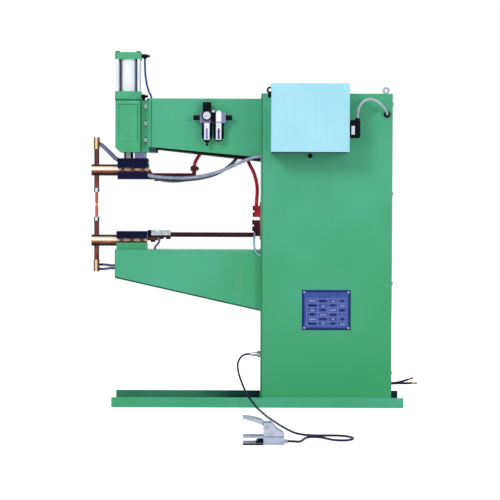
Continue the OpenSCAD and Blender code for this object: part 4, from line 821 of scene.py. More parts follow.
def tube(name: str, path: Sequence[Vector], width: float, swell: Callable[[int], float] | None = None,
         round_sides: int = 4) -> bpy.types.Object:
    """Makes a round tube along a path, as a mesh with closed ends.

    Args:
        name: The piece's name.
        path: The points of its middle line, in metres.
        width: Its diameter in metres.
        swell: Gives the factor on the radius at each point, or 1 all along.
        round_sides: Blender's bevel resolution: the tube has 4 + 2 of these sides.

    Returns:
        The tube.
    """
    line = bpy.data.curves.new(name, "CURVE")
    line.dimensions = "3D"
    line.bevel_depth = width / 2
    line.bevel_resolution = round_sides
    line.use_fill_caps = True
    line.twist_mode = "MINIMUM"
    spline = line.splines.new("POLY")
    spline.points.add(len(path) - 1)
    for i, (point, place) in enumerate(zip(spline.points, path)):
        point.co = (*place, 1.0)
        point.radius = swell(i) if swell else 1.0
    piece = bpy.data.objects.new(name, line)
    bpy.context.collection.objects.link(piece)
    only(piece)
    bpy.ops.object.convert(target="MESH")
    piece = bpy.context.object
    with editing(piece):
        bpy.ops.mesh.select_all(action="SELECT")
        bpy.ops.mesh.remove_doubles(threshold=1e-6)
        bpy.ops.mesh.normals_make_consistent(inside=False)
    return piece


@dataclass
class Workshop:
    """Carries CAD nodes over into finer pieces, and dresses and mounts every piece.

    Attributes:
        nodes: The CAD nodes by name.
        materials: The materials made so far, by finish.
        count: How many pieces have been mounted.
    """

    nodes: dict[str, bpy.types.Object]
    materials: dict[Finish, bpy.types.Material] = field(default_factory=dict)
    count: int = 0

    def material(self, finish: Finish) -> bpy.types.Material:
        """Gives a finish's material, made once."""
        if finish not in self.materials:
            self.materials[finish] = finish.make()
        return self.materials[finish]

    def dress(self, piece: bpy.types.Object, finish: Finish, angle: float = 32.0) -> None:
        """Gives a piece its one finish and smooth shading over its rounded faces.

        Args:
            piece: The mesh object.
            finish: Its finish.
            angle: The angle in degrees past which an edge stays sharp.
        """
        piece.data.materials.clear()
        piece.data.materials.append(self.material(finish))
        only(piece)
        bpy.ops.object.shade_smooth_by_angle(angle=math.radians(angle))
        flat = piece.modifiers.new("flat_faces", "WEIGHTED_NORMAL")
        flat.keep_sharp = True
        bpy.ops.object.modifier_apply(modifier=flat.name)

    def paint_faces(self, piece: bpy.types.Object, finish: Finish,
                    test: Callable[[Vector, Vector], bool]) -> None:
        """Gives some faces of a piece another finish.

        Args:
            piece: The dressed piece.
            finish: The finish of those faces.
            test: Says whether a face has it, from its middle in millimetres and its normal.
        """
        piece.data.materials.append(self.material(finish))
        number = len(piece.data.materials) - 1
        for face in piece.data.polygons:
            if test(face.center / MM, face.normal):
                face.material_index = number

    def mount(self, piece: bpy.types.Object, finish: Finish, body: Body = Body.FRAME,
              stands_for: Sequence[str] = (), dressed: bool = False) -> bpy.types.Object:
        """Dresses a piece, and hangs it on its body.

        Args:
            piece: The finished mesh object.
            finish: Its finish, which names its slot.
            body: The body that it rides on.
            stands_for: The CAD nodes that it replaces.
            dressed: Whether it has its materials already.

        Returns:
            The piece.
        """
        if not dressed:
            self.dress(piece, finish)
        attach(piece, body.value)
        self.record(piece, finish, stands_for)
        return piece

    def record(self, piece: bpy.types.Object, finish: Finish, stands_for: Sequence[str]) -> None:
        """Hides the CAD nodes that a piece replaces, counts the piece and reports it."""
        if stands_for:
            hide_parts(*stands_for)
        self.count += 1
        log.info("%s: %s, %d faces", piece.name, finish.name, len(piece.data.polygons))

    def copy_node(self, node: str) -> bpy.types.Object:
        """Copies a CAD node's mesh, merged and with its flat faces whole.

        Args:
            node: The CAD node's name.

        Returns:
            The new mesh object.
        """
        source = self.nodes[node]
        piece = bpy.data.objects.new(node + "_piece", source.data.copy())
        bpy.context.collection.objects.link(piece)
        with editing(piece):
            bpy.ops.mesh.select_all(action="SELECT")
            bpy.ops.mesh.remove_doubles(threshold=1e-6)
            bpy.ops.mesh.customdata_custom_splitnormals_clear()
            bpy.ops.mesh.dissolve_limited(angle_limit=math.radians(0.5))
        return piece

    def carry(self, node: str, finish: Finish, body: Body = Body.FRAME, edge_mm: float = 0.8,
              segments: int = 2, cuts: Sequence[tuple[Axis, float]] = ()) -> bpy.types.Object:
        """Carries a CAD node over with softened edges, a finish and its body.

        Args:
            node: The CAD node's name.
            finish: Its finish.
            body: The body that it rides on.
            edge_mm: The width of its rounded edges.
            segments: How many faces the rounding has.
            cuts: Planes that part its faces, for paint that ends there: an axis with a place in millimetres.

        Returns:
            The piece that stands for the node.
        """
        piece = self.copy_node(node)
        for axis, place in cuts:
            part_faces(piece, axis, place)
        soften(piece, edge_mm, segments)
        return self.mount(piece, finish, body, [node])


@dataclass
class Lines:
    """The cords, cables and hoses, along the routes that the part's source has, in millimetres.

    Attributes:
        pedal: The foot switch's cord, from the gland on the column.
        mains_a: The upper mains lead, from the column.
        mains_b: The lower mains lead.
        control: The control cable, from the plug on the box.
        air: The air tube beside the cylinder.
        drip: The tube beside the shunt.
        back: The hose that takes the cooling water back.
        low_a: The upper hose on the lower holder.
        low_b: The lower hose there.
        upper: The hose on the upper holder.
        flex: The red conductor, from the ram.
        water_a: The front water hose, from the ram.
        water_b: The water hose behind it.
        pedal_width: The pedal cord's diameter.
        mains_width: A mains lead's diameter.
        control_width: The control cable's diameter.
        air_width: The diameter of the air, drip and return tubes.
        hose_width: The diameter of the hoses on the lower holder.
        water_width: A water hose's diameter.
        upper_width: The diameter of the hose on the upper holder.
        flex_width: The red conductor's diameter.
        bare_mm: The bare length at a mains lead's end.
        strand_width: The diameter of a strand.
        strands_round: How many strands lie round the middle one.
        twist: How far the strands turn from point to point, in radians.
        fray: How far they spread from point to point, over their diameter.
        flex_reach: Where the conductor starts to follow the ram along X, and where it does wholly, in metres.
            It is not used.
        water_reach_a: The same for the front water hose. It is not used.
        water_reach_b: The same for the one behind it. It is not used.
    """

    pedal: Sequence[Point] = (
        (-28, -60, 207), (-42, -60, 207), (-59, -62, 201), (-72, -66, 187), (-79, -72, 166), (-77, -82, 142),
        (-70, -100, 117), (-60, -125, 93), (-48, -155, 68), (-36, -187, 49), (-20, -217, 31), (-4, -255, 15),
        (14, -311, 5), (33, -450, 4), (53, -572, 4), (80, -724, 4), (103, -835, 4), (128, -928, 4),
        (160, -977, 4), (198, -992, 4), (236, -992, 4), (274, -994, 4), (304, -1012, 4), (322, -1045, 4),
        (320, -1085, 4), (298, -1115, 4), (268, -1116, 4), (246, -1098, 4), (228, -1064, 4), (208, -1038, 4),
        (182, -1032, 4), (162, -1052, 4), (152, -1090, 4), (144, -1130, 4), (132, -1160, 5), (114, -1176, 8),
        (94, -1179, 9))
    mains_a: Sequence[Point] = (
        (541, -42, 90), (555, -42, 91), (572, -43, 94), (590, -44, 99), (608, -45, 105), (629, -46, 112))
    mains_b: Sequence[Point] = (
        (541, -26, 87), (556, -26, 87), (576, -27, 88), (598, -28, 88), (620, -29, 89), (646, -30, 89))
    control: Sequence[Point] = (
        (388, -215, 1149), (389, -215, 1167), (393, -214, 1187), (405, -212, 1208), (424, -208, 1221),
        (445, -204, 1224), (466, -199, 1216), (484, -192, 1202), (498, -182, 1187), (506, -168, 1176),
        (509, -155, 1170), (510, -143, 1168))
    air: Sequence[Point] = (
        (-458, 0, 1394), (-458, 0, 1376), (-456, 0, 1332), (-450, 0, 1292), (-442, 0, 1264), (-434, 0, 1248),
        (-431, 0, 1231))
    drip: Sequence[Point] = (
        (-397, -14, 674), (-397, -14, 664), (-400, -14, 654), (-408, -14, 644), (-414, -14, 637),
        (-416, -14, 626))
    back: Sequence[Point] = (
        (-11, -22, 692), (-11, -38, 692), (-13, -66, 684), (-15, -88, 665), (-14, -99, 640), (-6, -102, 616),
        (12, -102, 604))
    low_a: Sequence[Point] = (
        (-629, 0, 563.5), (-622, 0, 563.5), (-608, 0, 561.8), (-594, 0, 560.1), (-583, 0, 560.1),
        (-572, 0, 560.1))
    low_b: Sequence[Point] = (
        (-629, 0, 545.5), (-622, 0, 545.5), (-608, 0, 547.2), (-594, 0, 548.9), (-583, 0, 548.9),
        (-572, 0, 548.9))
    upper: Sequence[Point] = (
        (-635.2, 0, 1049.8), (-620, 0, 1036), (-604, 0, 1021), (-590, 0, 1007), (-578, 0, 995),
        (-565, 0, 986))
    flex: Sequence[Point] = (
        (-257, 0, 966), (-254, 0, 978), (-247, 0, 992), (-238, 0, 1006), (-228, 0, 1020), (-217, 0, 1036),
        (-202, 0, 1054), (-176, 0, 1074), (-134, 0, 1084), (-96, 0, 1076), (-66, 0, 1047), (-50, 0, 1010),
        (-36, 0, 975), (-18, 0, 940), (-8, 0, 908), (-3, 0, 876), (-3, 0, 850), (-5, 0, 828), (-6, 0, 804))
    water_a: Sequence[Point] = (
        (-443, -43, 926), (-425, -43, 922), (-385, -47, 917), (-334, -52, 914), (-284, -60, 915),
        (-234, -68, 920), (-184, -78, 931), (-134, -88, 948), (-74, -97, 975), (-25, -100, 995),
        (12, -100, 1000))
    water_b: Sequence[Point] = (
        (-443, -29, 926), (-425, -29, 918), (-385, -31, 906), (-334, -34, 902), (-284, -37, 907),
        (-234, -42, 913), (-184, -46, 925), (-150, -48, 940), (-120, -50, 960), (-98, -50, 980),
        (-86, -50, 993.9))
    pedal_width: float = 8
    mains_width: float = 9
    control_width: float = 10
    air_width: float = 8
    hose_width: float = 10
    water_width: float = 13
    upper_width: float = 17
    flex_width: float = 14
    bare_mm: float = 18
    strand_width: float = 2.1
    strands_round: int = 6
    twist: float = 0.35
    fray: float = 0.03
    flex_reach: tuple[float, float] = (-0.09, -0.25)
    water_reach_a: tuple[float, float] = (0.012, -0.434)
    water_reach_b: tuple[float, float] = (-0.086, -0.434)

    def path(self, route: Sequence[Point], steps: int = 8) -> list[Vector]:
        """Gives a route's curve in metres."""
        return [p * MM for p in smooth_route(route, steps)]

    def free_cord(self, shop: Workshop, name: str, path: list[Vector], width: float, finish: Finish,
                  stands_for: Sequence[str]) -> None:
        """Args:
            shop: The workshop.
            name: The piece's name.
            path: Its middle line in metres, from where it leaves the object.
            width: Its diameter in millimetres.
            finish: Its sheath.
            stands_for: The CAD nodes that it replaces.
        """
        piece = shop.mount(tube(name, path, width * MM), finish, Body.FRAME, stands_for)

    def cut(self, path: list[Vector], bare: float) -> tuple[list[Vector], list[Vector]]:
        """Parts a path into its sheathed stretch and its bare end.

        Args:
            path: The whole path.
            bare: The length of the bare end.

        Returns:
            The sheathed stretch and the bare end, which share a point.
        """
        run, i = 0.0, len(path) - 1
        while run < bare:
            run += (path[i] - path[i - 1]).length
            i -= 1
        return path[: i + 1], path[i:]

    def strands(self, name: str, path: list[Vector]) -> bpy.types.Object:
        """Twists copper strands round a middle one at a lead's bare end.

        Args:
            name: The piece's name.
            path: The middle line of the bare end.

        Returns:
            The bundle of strands.
        """
        wires = []
        for strand in range(self.strands_round + 1):
            turn = strand * math.tau / self.strands_round
            out = self.strand_width * MM if strand < self.strands_round else 0.0
            route = []
            for i, place in enumerate(path):
                ahead = (path[min(i + 1, len(path) - 1)] - path[max(i - 1, 0)]).normalized()
                side = ahead.cross(Vector((0, 0, 1))).normalized()
                lift = side.cross(ahead)
                angle = turn + self.twist * i
                spread = out * (1 + self.fray * i)
                route.append(place + (side * math.cos(angle) + lift * math.sin(angle)) * spread)
            wires.append(tube(name, route, self.strand_width * MM, round_sides=2))
        return fuse(name, wires)

    def build(self, shop: Workshop) -> None:
        """Makes every line, the free cords first."""
        self.free_cord(shop, "pedal_cord_sheath", self.path(self.pedal), self.pedal_width, SHEATH,
                       ["pedal_cord"])
        for letter, route in (("a", self.mains_a), ("b", self.mains_b)):
            sheathed, bare = self.cut(self.path(route, steps=10), self.bare_mm * MM)
            copper = shop.mount(self.strands(f"mains_strands_{letter}", bare), COPPER)
            self.free_cord(shop, f"mains_lead_{letter}", sheathed, self.mains_width, SHEATH,
                           ["mains_leads"])
        self.free_cord(shop, "control_cable_sheath", self.path(self.control), self.control_width, GREY_SHEATH,
                       ["control_cable"])
        for name, route, width, finish, body, node in (
                ("air_tube", self.air, self.air_width, AIR_TUBE, Body.FRAME, "fixed_hoses"),
                ("drip_tube", self.drip, self.air_width, DARK_HOSE, Body.FRAME, "fixed_hoses"),
                ("return_hose", self.back, self.air_width, PALE_HOSE, Body.FRAME, "fixed_hoses"),
                ("lower_hose_a", self.low_a, self.hose_width, DARK_HOSE, Body.FRAME, "fixed_hoses"),
                ("lower_hose_b", self.low_b, self.hose_width, DARK_HOSE, Body.FRAME, "fixed_hoses"),
                ("upper_holder_hose", self.upper, self.upper_width, BLUE_HOSE, Body.RAM, "upper_hose")):
            shop.mount(tube(name, self.path(route), width * MM), finish, body, [node])
        self.bending(shop, "secondary_flex", self.flex, self.flex_width, SLEEVE, "upper_flex")
        for letter, route, finish, reach in (
                ("a", self.water_a, HOSE, self.water_reach_a),
                # The hose behind gets the grey rubber painted dark as shadow.
                ("b", self.water_b, HOSE_IN_SHADOW, self.water_reach_b)):
            self.bending(shop, f"water_hose_{letter}", route, self.water_width, finish, "water_hoses")

    def bending(self, shop: Workshop, name: str, route: Sequence[Point], width: float, finish: Finish,
                node: str) -> None:
        """Makes a line between the frame and the ram, as a tube that hangs on no body.

        Args:
            shop: The workshop.
            name: The piece's name.
            route: Its points in millimetres.
            width: Its diameter in millimetres.
            finish: Its finish.
            node: The CAD node that it replaces.
        """
        piece = tube(name, self.path(route), width * MM)
        shop.dress(piece, finish)
        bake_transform(piece)
        shop.record(piece, finish, [node])


def bead(name: str, path: Sequence[Point], width: float = 5.0, ripple: float = 3.0,
         trough: float = 0.84) -> bpy.types.Object:
    """Lays a fillet weld along straight stretches: a low rope with the ripple of the torch.

    Args:
        name: The piece's name.
        path: The corners of its line, in millimetres.
        width: Its width.
        ripple: The length of one ripple.
        trough: The width between two ripples, over the width of the weld.

    Returns:
        The weld.
    """
    line: list[Vector] = []
    for a, b in zip(path, path[1:]):
        first, last = Vector(a), Vector(b)
        count = max(2, round((last - first).length / ripple) * 2)
        line += [first.lerp(last, i / count) * MM for i in range(count + (b is path[-1]))]
    return tube(name, line, width * MM, lambda i: 1.0 if i % 2 else trough, round_sides=1)


@dataclass
class Stand:
    """The base rails, the folded column, its rear cover and what is fixed on them.

    Attributes:
        left: The column's left side along X, in millimetres as all sizes of the sub-assemblies.
        right: Its right side.
        front: Its front along Y.
        leg_top: The top of the rails' standing legs.
        edge: The width of the painted shade strip along the column's left edge.
        tab: The heights between which the control box's bolt lies.
        weld_start: How far from the left side the foot welds start.
        weld_offset: How far their middle lies off the column's front and off the legs' top.
        plate: The nameplate's left, bottom, right and top.
        plate_front: Its front along Y.
        border: The width of its dark border.
        lip: The width of the step inside the border.
        sunk: How far the field lies below the border.
        columns: The places of the form's upright lines along X.
        form_bottom: The height of its lowest line.
        rows: How many rows it has.
        row_height: Their height.
        rule: The width of a line.
        ink: How far a line stands proud of the plate.
        bar_ink: How far a printed bar does.
        margin: The least space beside a bar in its cell.
        margin_step: How much wider that space is for each shorter length of bar.
        drift: How far a bar strays from its row's middle, over the row's height.
    """

    left: float = 12
    right: float = 530
    front: float = -135
    leg_top: float = 40
    edge: float = 5.5
    tab: tuple[float, float] = (984, 1013)
    weld_start: float = 14
    weld_offset: tuple[float, float] = (1.5, 0.5)
    plate: tuple[float, float, float, float] = (176, 310, 370, 470)
    plate_front: float = -136.5
    border: float = 9
    lip: float = 1.2
    sunk: float = 0.3
    columns: tuple[float, ...] = (194, 238, 279, 318, 352)
    form_bottom: float = 327
    rows: int = 6
    row_height: float = 18
    rule: float = 1.6
    ink: float = 0.1
    bar_ink: float = 0.06
    margin: float = 7
    margin_step: float = 3
    drift: float = 0.06

    def build(self, shop: Workshop) -> None:
        """Builds the stand."""
        for node in ("base_front_rail", "base_rear_rail", "base_cross_members"):
            rail = shop.carry(node, GREEN, edge_mm=1.4)
            if node == "base_rear_rail":
                # The rear rail's front-facing faces get the column's painted shadow.
                shop.paint_faces(rail, RAIL_SHADOW, lambda at, way: to_front(way, share=0.5))
        column = shop.carry("column_shell", COLUMN_GREEN, edge_mm=0.7, cuts=[(Axis.X, self.left + self.edge)])
        # A strip of painted shade along the column's left edge.
        shop.paint_faces(column, GREEN_EDGE_SHADE, lambda at, way: to_front(way) and at.x < self.left + self.edge)
        shop.carry("rear_cover", COLUMN_GREEN, edge_mm=0.9)
        screws = shop.carry("sheet_screws", BOLT, edge_mm=0.5)
        low, high = self.tab
        shop.paint_faces(screws, BLACK_STEEL, lambda at, way: low < at.z < high and at.y < self.front)
        eyes = shop.carry("lifting_eyes", BLACK_STEEL, edge_mm=0.6)
        # The right eye is painted pale as a painted highlight; both eyes are the same dark steel.
        shop.paint_faces(eyes, CAST, lambda at, way: at.x > (self.left + self.right) / 2)
        self.nameplate(shop)
        welds = []
        out, up = self.weld_offset
        for side in (-1, 1):
            y, z = side * (-self.front + out), self.leg_top + up
            welds.append(bead("foot_weld", [(self.left + self.weld_start, y, z), (self.right, y, z)]))
        shop.mount(fuse("foot_welds", welds), GREEN)

    def nameplate(self, shop: Workshop) -> None:
        """Makes the plate: a dark border round a blue field with a blank form's ruled lines."""
        x0, z0, x1, z1 = self.plate
        plate = block("nameplate_piece", (x0, self.plate_front, z0), (x1, self.front, z1))
        with editing(plate):
            pick_faces(plate, facing(Axis.Y, -1))
            bpy.ops.mesh.inset(thickness=self.border * MM, depth=0)
            bpy.ops.mesh.inset(thickness=self.lip * MM, depth=-self.sunk * MM)
        soften(plate, 0.3, 1)
        shop.dress(plate, PLATE_EDGE)
        shop.paint_faces(plate, PLATE, lambda at, way: to_front(way, share=0.9)
                         and x0 + self.border < at.x < x1 - self.border
                         and z0 + self.border < at.z < z1 - self.border)
        shop.mount(plate, PLATE, Body.FRAME, ["nameplate"], dressed=True)
        lines = []
        y0, y1 = self.plate_front - self.ink, self.plate_front + self.sunk
        first, last = self.columns[0], self.columns[-1]
        for row in range(self.rows + 1):
            z = self.form_bottom + row * self.row_height
            lines.append(block("rule", (first, y0, z), (last, y1, z + self.rule)))
        top = self.form_bottom + self.rows * self.row_height + self.rule
        for x in (*self.columns[:-1], last - self.rule):
            lines.append(block("rule", (x, y0, self.form_bottom), (x + self.rule, y1, top)))
        rules = fuse("nameplate_rules", lines)
        soften(rules, 0.08, 1)
        shop.mount(rules, PLATE_RULE)
        self.form_cells(shop, "form_headings", PLATE_EDGE, share=0.5, odd=0)
        self.form_cells(shop, "form_blanks", PLATE_RULE, share=0.34, odd=1)

    def form_cells(self, shop: Workshop, name: str, finish: Finish, share: float, odd: int) -> None:
        """Prints every second cell of the form with a bar, of uneven lengths, as in a form to be filled in.

        Args:
            shop: The workshop.
            name: The piece's name.
            finish: The ink.
            share: The bar's height over the row's.
            odd: Which cells have a bar: 0 for the first of the lowest row and 1 for its neighbour.
        """
        cells = []
        half = share * self.row_height / 2
        for row in range(self.rows):
            for column, (left, right) in enumerate(zip(self.columns, self.columns[1:])):
                if (row + column) % 2 == odd:
                    inset = self.margin + self.margin_step * ((row * 5 + column * 3) % 4)
                    stray = self.drift * ((row + 2 * column) % 3 - 1)
                    z = self.form_bottom + (row + 0.5 + stray) * self.row_height
                    cells.append(block(
                        "cell", (left + inset, self.plate_front - self.bar_ink, z - half),
                        (right - inset + self.margin_step, self.plate_front + self.sunk, z + half)))
        piece = fuse(name, cells)
        soften(piece, 0.05, 1)
        shop.mount(piece, finish)


@dataclass
class Arms:
    """The two welded box arms.

    Attributes:
        half: Half their width along Y.
        edge: The width of their rounded edges.
        root: The place along X where they leave the column.
        upper_span: The upper arm's bottom and top there.
        lower_span: The lower arm's bottom and top there.
        weld_offset: How far the root welds' middle lies off the column and off an arm's side.
        tip: The upper arm's tip along X.
        tip_bottom: The height of its underside there.
        lip: How far behind the tip the dark blue-green painted shade on the underside ends and the black
            painted shadow starts.
        lip_cut: How far behind that its faces are parted.
        bands: How far that painted shadow comes up the sides, at the tip and at the root.
        seam_ends: How far the end plate's weld stops short of the arm's bottom and top.
        low_tip: The lower arm's tip along X.
        low_tip_bottom: The height of its underside there.
        tip_line: The width of the painted shade strip at that tip.
        shade_band: The width of the painted shade band along the lower edge.
    """

    half: float = 90
    edge: float = 1.6
    root: float = 12
    upper_span: tuple[float, float] = (983, 1231)
    lower_span: tuple[float, float] = (382, 626)
    weld_offset: tuple[float, float] = (1.2, 0.8)
    tip: float = -427
    tip_bottom: float = 1032
    lip: float = 19
    lip_cut: float = 0.6
    bands: tuple[float, float] = (5, 14)
    seam_ends: tuple[float, float] = (2, 3)
    low_tip: float = -572
    low_tip_bottom: float = 513
    tip_line: float = 2.5
    shade_band: float = 6

    def build(self, shop: Workshop) -> None:
        """Builds the arms and the welds round their roots."""
        upper = shop.copy_node("upper_arm")
        at_tip, at_root = self.bands
        slope = Vector((self.root - self.tip, 0, self.upper_span[0] + at_root - self.tip_bottom - at_tip))
        square = Vector((-slope.z, 0, slope.x)).normalized()
        level = Vector((self.tip, 0, self.tip_bottom + at_tip))
        part_sloping(upper, level, square)
        part_faces(upper, Axis.X, self.tip + self.lip + self.lip_cut)
        soften(upper, self.edge, 3)
        shop.dress(upper, GREEN)
        # Black painted shadow under the upper arm and up its sides, and dark blue-green painted shade under
        # its tip.
        for finish, side in ((SHADE_PAINT, 1), (DARK_SHADE, -1)):
            shop.paint_faces(upper, finish, lambda at, way: side * (at.x - self.tip - self.lip) > 0
                             and at.x > self.tip - PAST and (at - level).dot(square) < -HAIR)
        shop.mount(upper, GREEN, Body.FRAME, ["upper_arm"], dressed=True)
        self.lower_arm(shop)
        out, up = self.weld_offset
        x, y = self.root - out, self.half + up
        for name, (low, high) in (("upper", self.upper_span), ("lower", self.lower_span)):
            corners = [(x, -y, low), (x, -y, high), (x, y, high), (x, y, low), (x, -y, low)]
            shop.mount(bead(f"{name}_arm_weld", corners), GREEN)
        # The end plate's weld is dark green as a painted shade line along the seam.
        low_end, high_end = self.seam_ends
        seam = bead("end_plate_weld", [(self.tip, -self.half, self.tip_bottom + low_end),
                                       (self.tip, -self.half, self.upper_span[1] - high_end)])
        shop.mount(seam, SEAM_AND_EDGE_SHADE)

    def lower_arm(self, shop: Workshop) -> None:
        """Builds the lower arm with painted shade along its lower edge and at its tip."""
        arm = shop.copy_node("lower_arm")
        slope = Vector((self.root - self.low_tip, 0, self.lower_span[0] - self.low_tip_bottom))
        square = Vector((-slope.z, 0, slope.x)).normalized()
        level = Vector((self.low_tip, 0, self.low_tip_bottom)) + square * self.shade_band
        part_sloping(arm, level, square)
        part_faces(arm, Axis.X, self.low_tip + self.tip_line)
        soften(arm, self.edge, 3)
        shop.dress(arm, GREEN)
        # A band of painted shade along the lower arm's underside edge.
        shop.paint_faces(arm, GREEN_EDGE_SHADE, lambda at, way: (at - level).dot(square) < -HAIR)
        # Painted shade along the lower arm's tip.
        shop.paint_faces(arm, SEAM_AND_EDGE_SHADE, lambda at, way: to_front(way)
                         and at.x < self.low_tip + self.tip_line)
        shop.mount(arm, GREEN, Body.FRAME, ["lower_arm"], dressed=True)


@dataclass
class PressHead:
    """The head casting, the air cylinder on it and its flow valves.

    Attributes:
        nut_level: The height above which the tie rods have their nuts.
        joint: The height of the joint between the casting and the cylinder's bottom cap.
        front: The casting's front along Y.
        edge: The width of its rounded edges.
        line: The width of a line of painted shade.
        panel: The top and the right side of the panel that is sunk into its front.
        panel_depth: How deep the panel is sunk.
        near: How far off a plane a face may lie that counts as in it.
        level: The part of a normal along Z at which its face counts as level.
    """

    nut_level: float = 1417
    joint: float = 1226
    front: float = -65
    edge: float = 3.0
    line: float = 3.0
    panel: tuple[float, float] = (1210, -482)
    panel_depth: float = 4
    near: float = 0.2
    level: float = 0.98

    def build(self, shop: Workshop) -> None:
        """Builds the head."""
        for node in ("head_casting", "cylinder_bottom_cap", "cylinder_top_cap"):
            self.cast_piece(shop, node)
        shop.carry("head_bolts", BOLT, edge_mm=0.8)
        shop.carry("cylinder_tube", TUBE, edge_mm=0.5)
        rods = shop.carry("tie_rods", CYLINDER, edge_mm=0.6)
        shop.paint_faces(rods, BLACK_STEEL, lambda at, way: at.z > self.nut_level)
        shop.carry("flow_valves", PLASTIC, edge_mm=1.0)
        shop.carry("upper_flow_screw", PLASTIC, Body.UPPER_SCREW, edge_mm=0.6)
        shop.carry("lower_flow_screw", PLASTIC, Body.LOWER_SCREW, edge_mm=0.6)
        shop.carry("solenoid_valve", PLASTIC, edge_mm=0.8)

    def cast_piece(self, shop: Workshop, node: str) -> None:
        """Makes a cast piece with painted shade along its left edge, along the top and right of its panel and
        in the joint under the cap.

        Args:
            shop: The workshop.
            node: The CAD node that it stands for.
        """
        piece = shop.copy_node(node)
        left = min(v.co.x for v in piece.data.vertices) / MM
        for axis, place in ((Axis.X, left + self.line), (Axis.Z, self.joint - self.line),
                            (Axis.Z, self.joint + self.line)):
            part_faces(piece, axis, place)
        floor = self.front + self.panel_depth
        ahead = facing(Axis.Y, -1, share=0.97)
        with editing(piece):
            pick_faces(piece, lambda face: ahead(face)
                       and abs(face.calc_center_median().y / MM - floor) < self.near)
            bpy.ops.mesh.inset(thickness=self.line * MM)
        soften(piece, self.edge, 3)
        shop.dress(piece, GREEN_CAST)
        # Painted shade along the casting's left edge.
        shop.paint_faces(piece, SEAM_AND_EDGE_SHADE, lambda at, way: at.x < left + self.line)
        # Painted shadow along the top and the right side of the sunk panel.
        top, right = self.panel
        shop.paint_faces(piece, SEAM_AND_EDGE_SHADE, lambda at, way: min(top - at.z, right - at.x) < self.line
                         and self.near / 2 < at.y - self.front < self.panel_depth + self.near)
        # Dark painted shade in the joint under the cap.
        shop.paint_faces(piece, DARK_SHADE, lambda at, way: abs(at.z - self.joint) < self.line
                         and abs(way.z) < self.level)
        shop.mount(piece, GREEN_CAST, Body.FRAME, [node], dressed=True)


def trim_holder(shop: Workshop, piece: bpy.types.Object, axis: float = -652, weld: float = 807,
                head: float = 223, ferrule: float = 67, bore: float = 12.3) -> None:
    """Gives a holder its brass head, its bright ferrule and its black hose nipples.

    Args:
        shop: The workshop.
        piece: The dressed holder.
        axis: The electrode's axis along X, in millimetres.
        weld: The height where the tips meet.
        head: How far from there the brass head starts.
        ferrule: How far from there the ferrule ends.
        bore: How far from the axis the nipples start.
    """
    shop.paint_faces(piece, BRASS, lambda at, way: abs(at.z - weld) > head)
    shop.paint_faces(piece, CHROME, lambda at, way: abs(at.z - weld) < ferrule)
    shop.paint_faces(piece, PLASTIC, lambda at, way: at.x > axis + bore)


@dataclass
class Ram:
    """What the piston carries: rod, guide, clamp, copper arm and upper electrode.

    Attributes:
        lug: The place along X past which the bar has its lug.
        neck: The place along X past which the copper arm is browned.
        gap: The bottom and top of the gap between the clamp's halves.
        bar_top: The height above which the lug is red.
    """

    lug: float = -267
    neck: float = -441
    gap: tuple[float, float] = (937, 955)
    bar_top: float = 934.5

    def build(self, shop: Workshop) -> None:
        """Builds the ram."""
        shop.carry("piston_rod", CHROME, Body.RAM, edge_mm=0.6)
        shop.carry("guide_bar", GROUND, Body.RAM, edge_mm=1.0)
        for node in ("upper_clamp_block", "upper_clamp_cap"):
            shop.carry(node, BLACK_STEEL, Body.RAM, edge_mm=1.2)
        bolts = shop.carry("upper_clamp_bolts", BLACK_STEEL, Body.RAM, edge_mm=0.7,
                           cuts=[(Axis.Z, place) for place in self.gap])
        shop.paint_faces(bolts, BROWNED, lambda at, way: self.gap[0] < at.z < self.gap[1])
        # The upper copper arm gets a painted highlight and painted shade.
        copper = shop.carry("upper_copper_arm", COPPER_PAINTED_LIGHT, Body.RAM, edge_mm=1.2, segments=3)
        shop.paint_faces(copper, BROWNED, lambda at, way: at.x > self.neck)
        trim_holder(shop, shop.carry("upper_holder", HOLDER, Body.RAM, edge_mm=0.7))
        shop.carry("upper_tip", TIP, Body.RAM, edge_mm=0.4)
        bar = shop.carry("upper_bar", DARK_SLEEVE, Body.RAM, edge_mm=1.0)
        shop.paint_faces(bar, SLEEVE, lambda at, way: at.x > self.lug and at.z > self.bar_top)


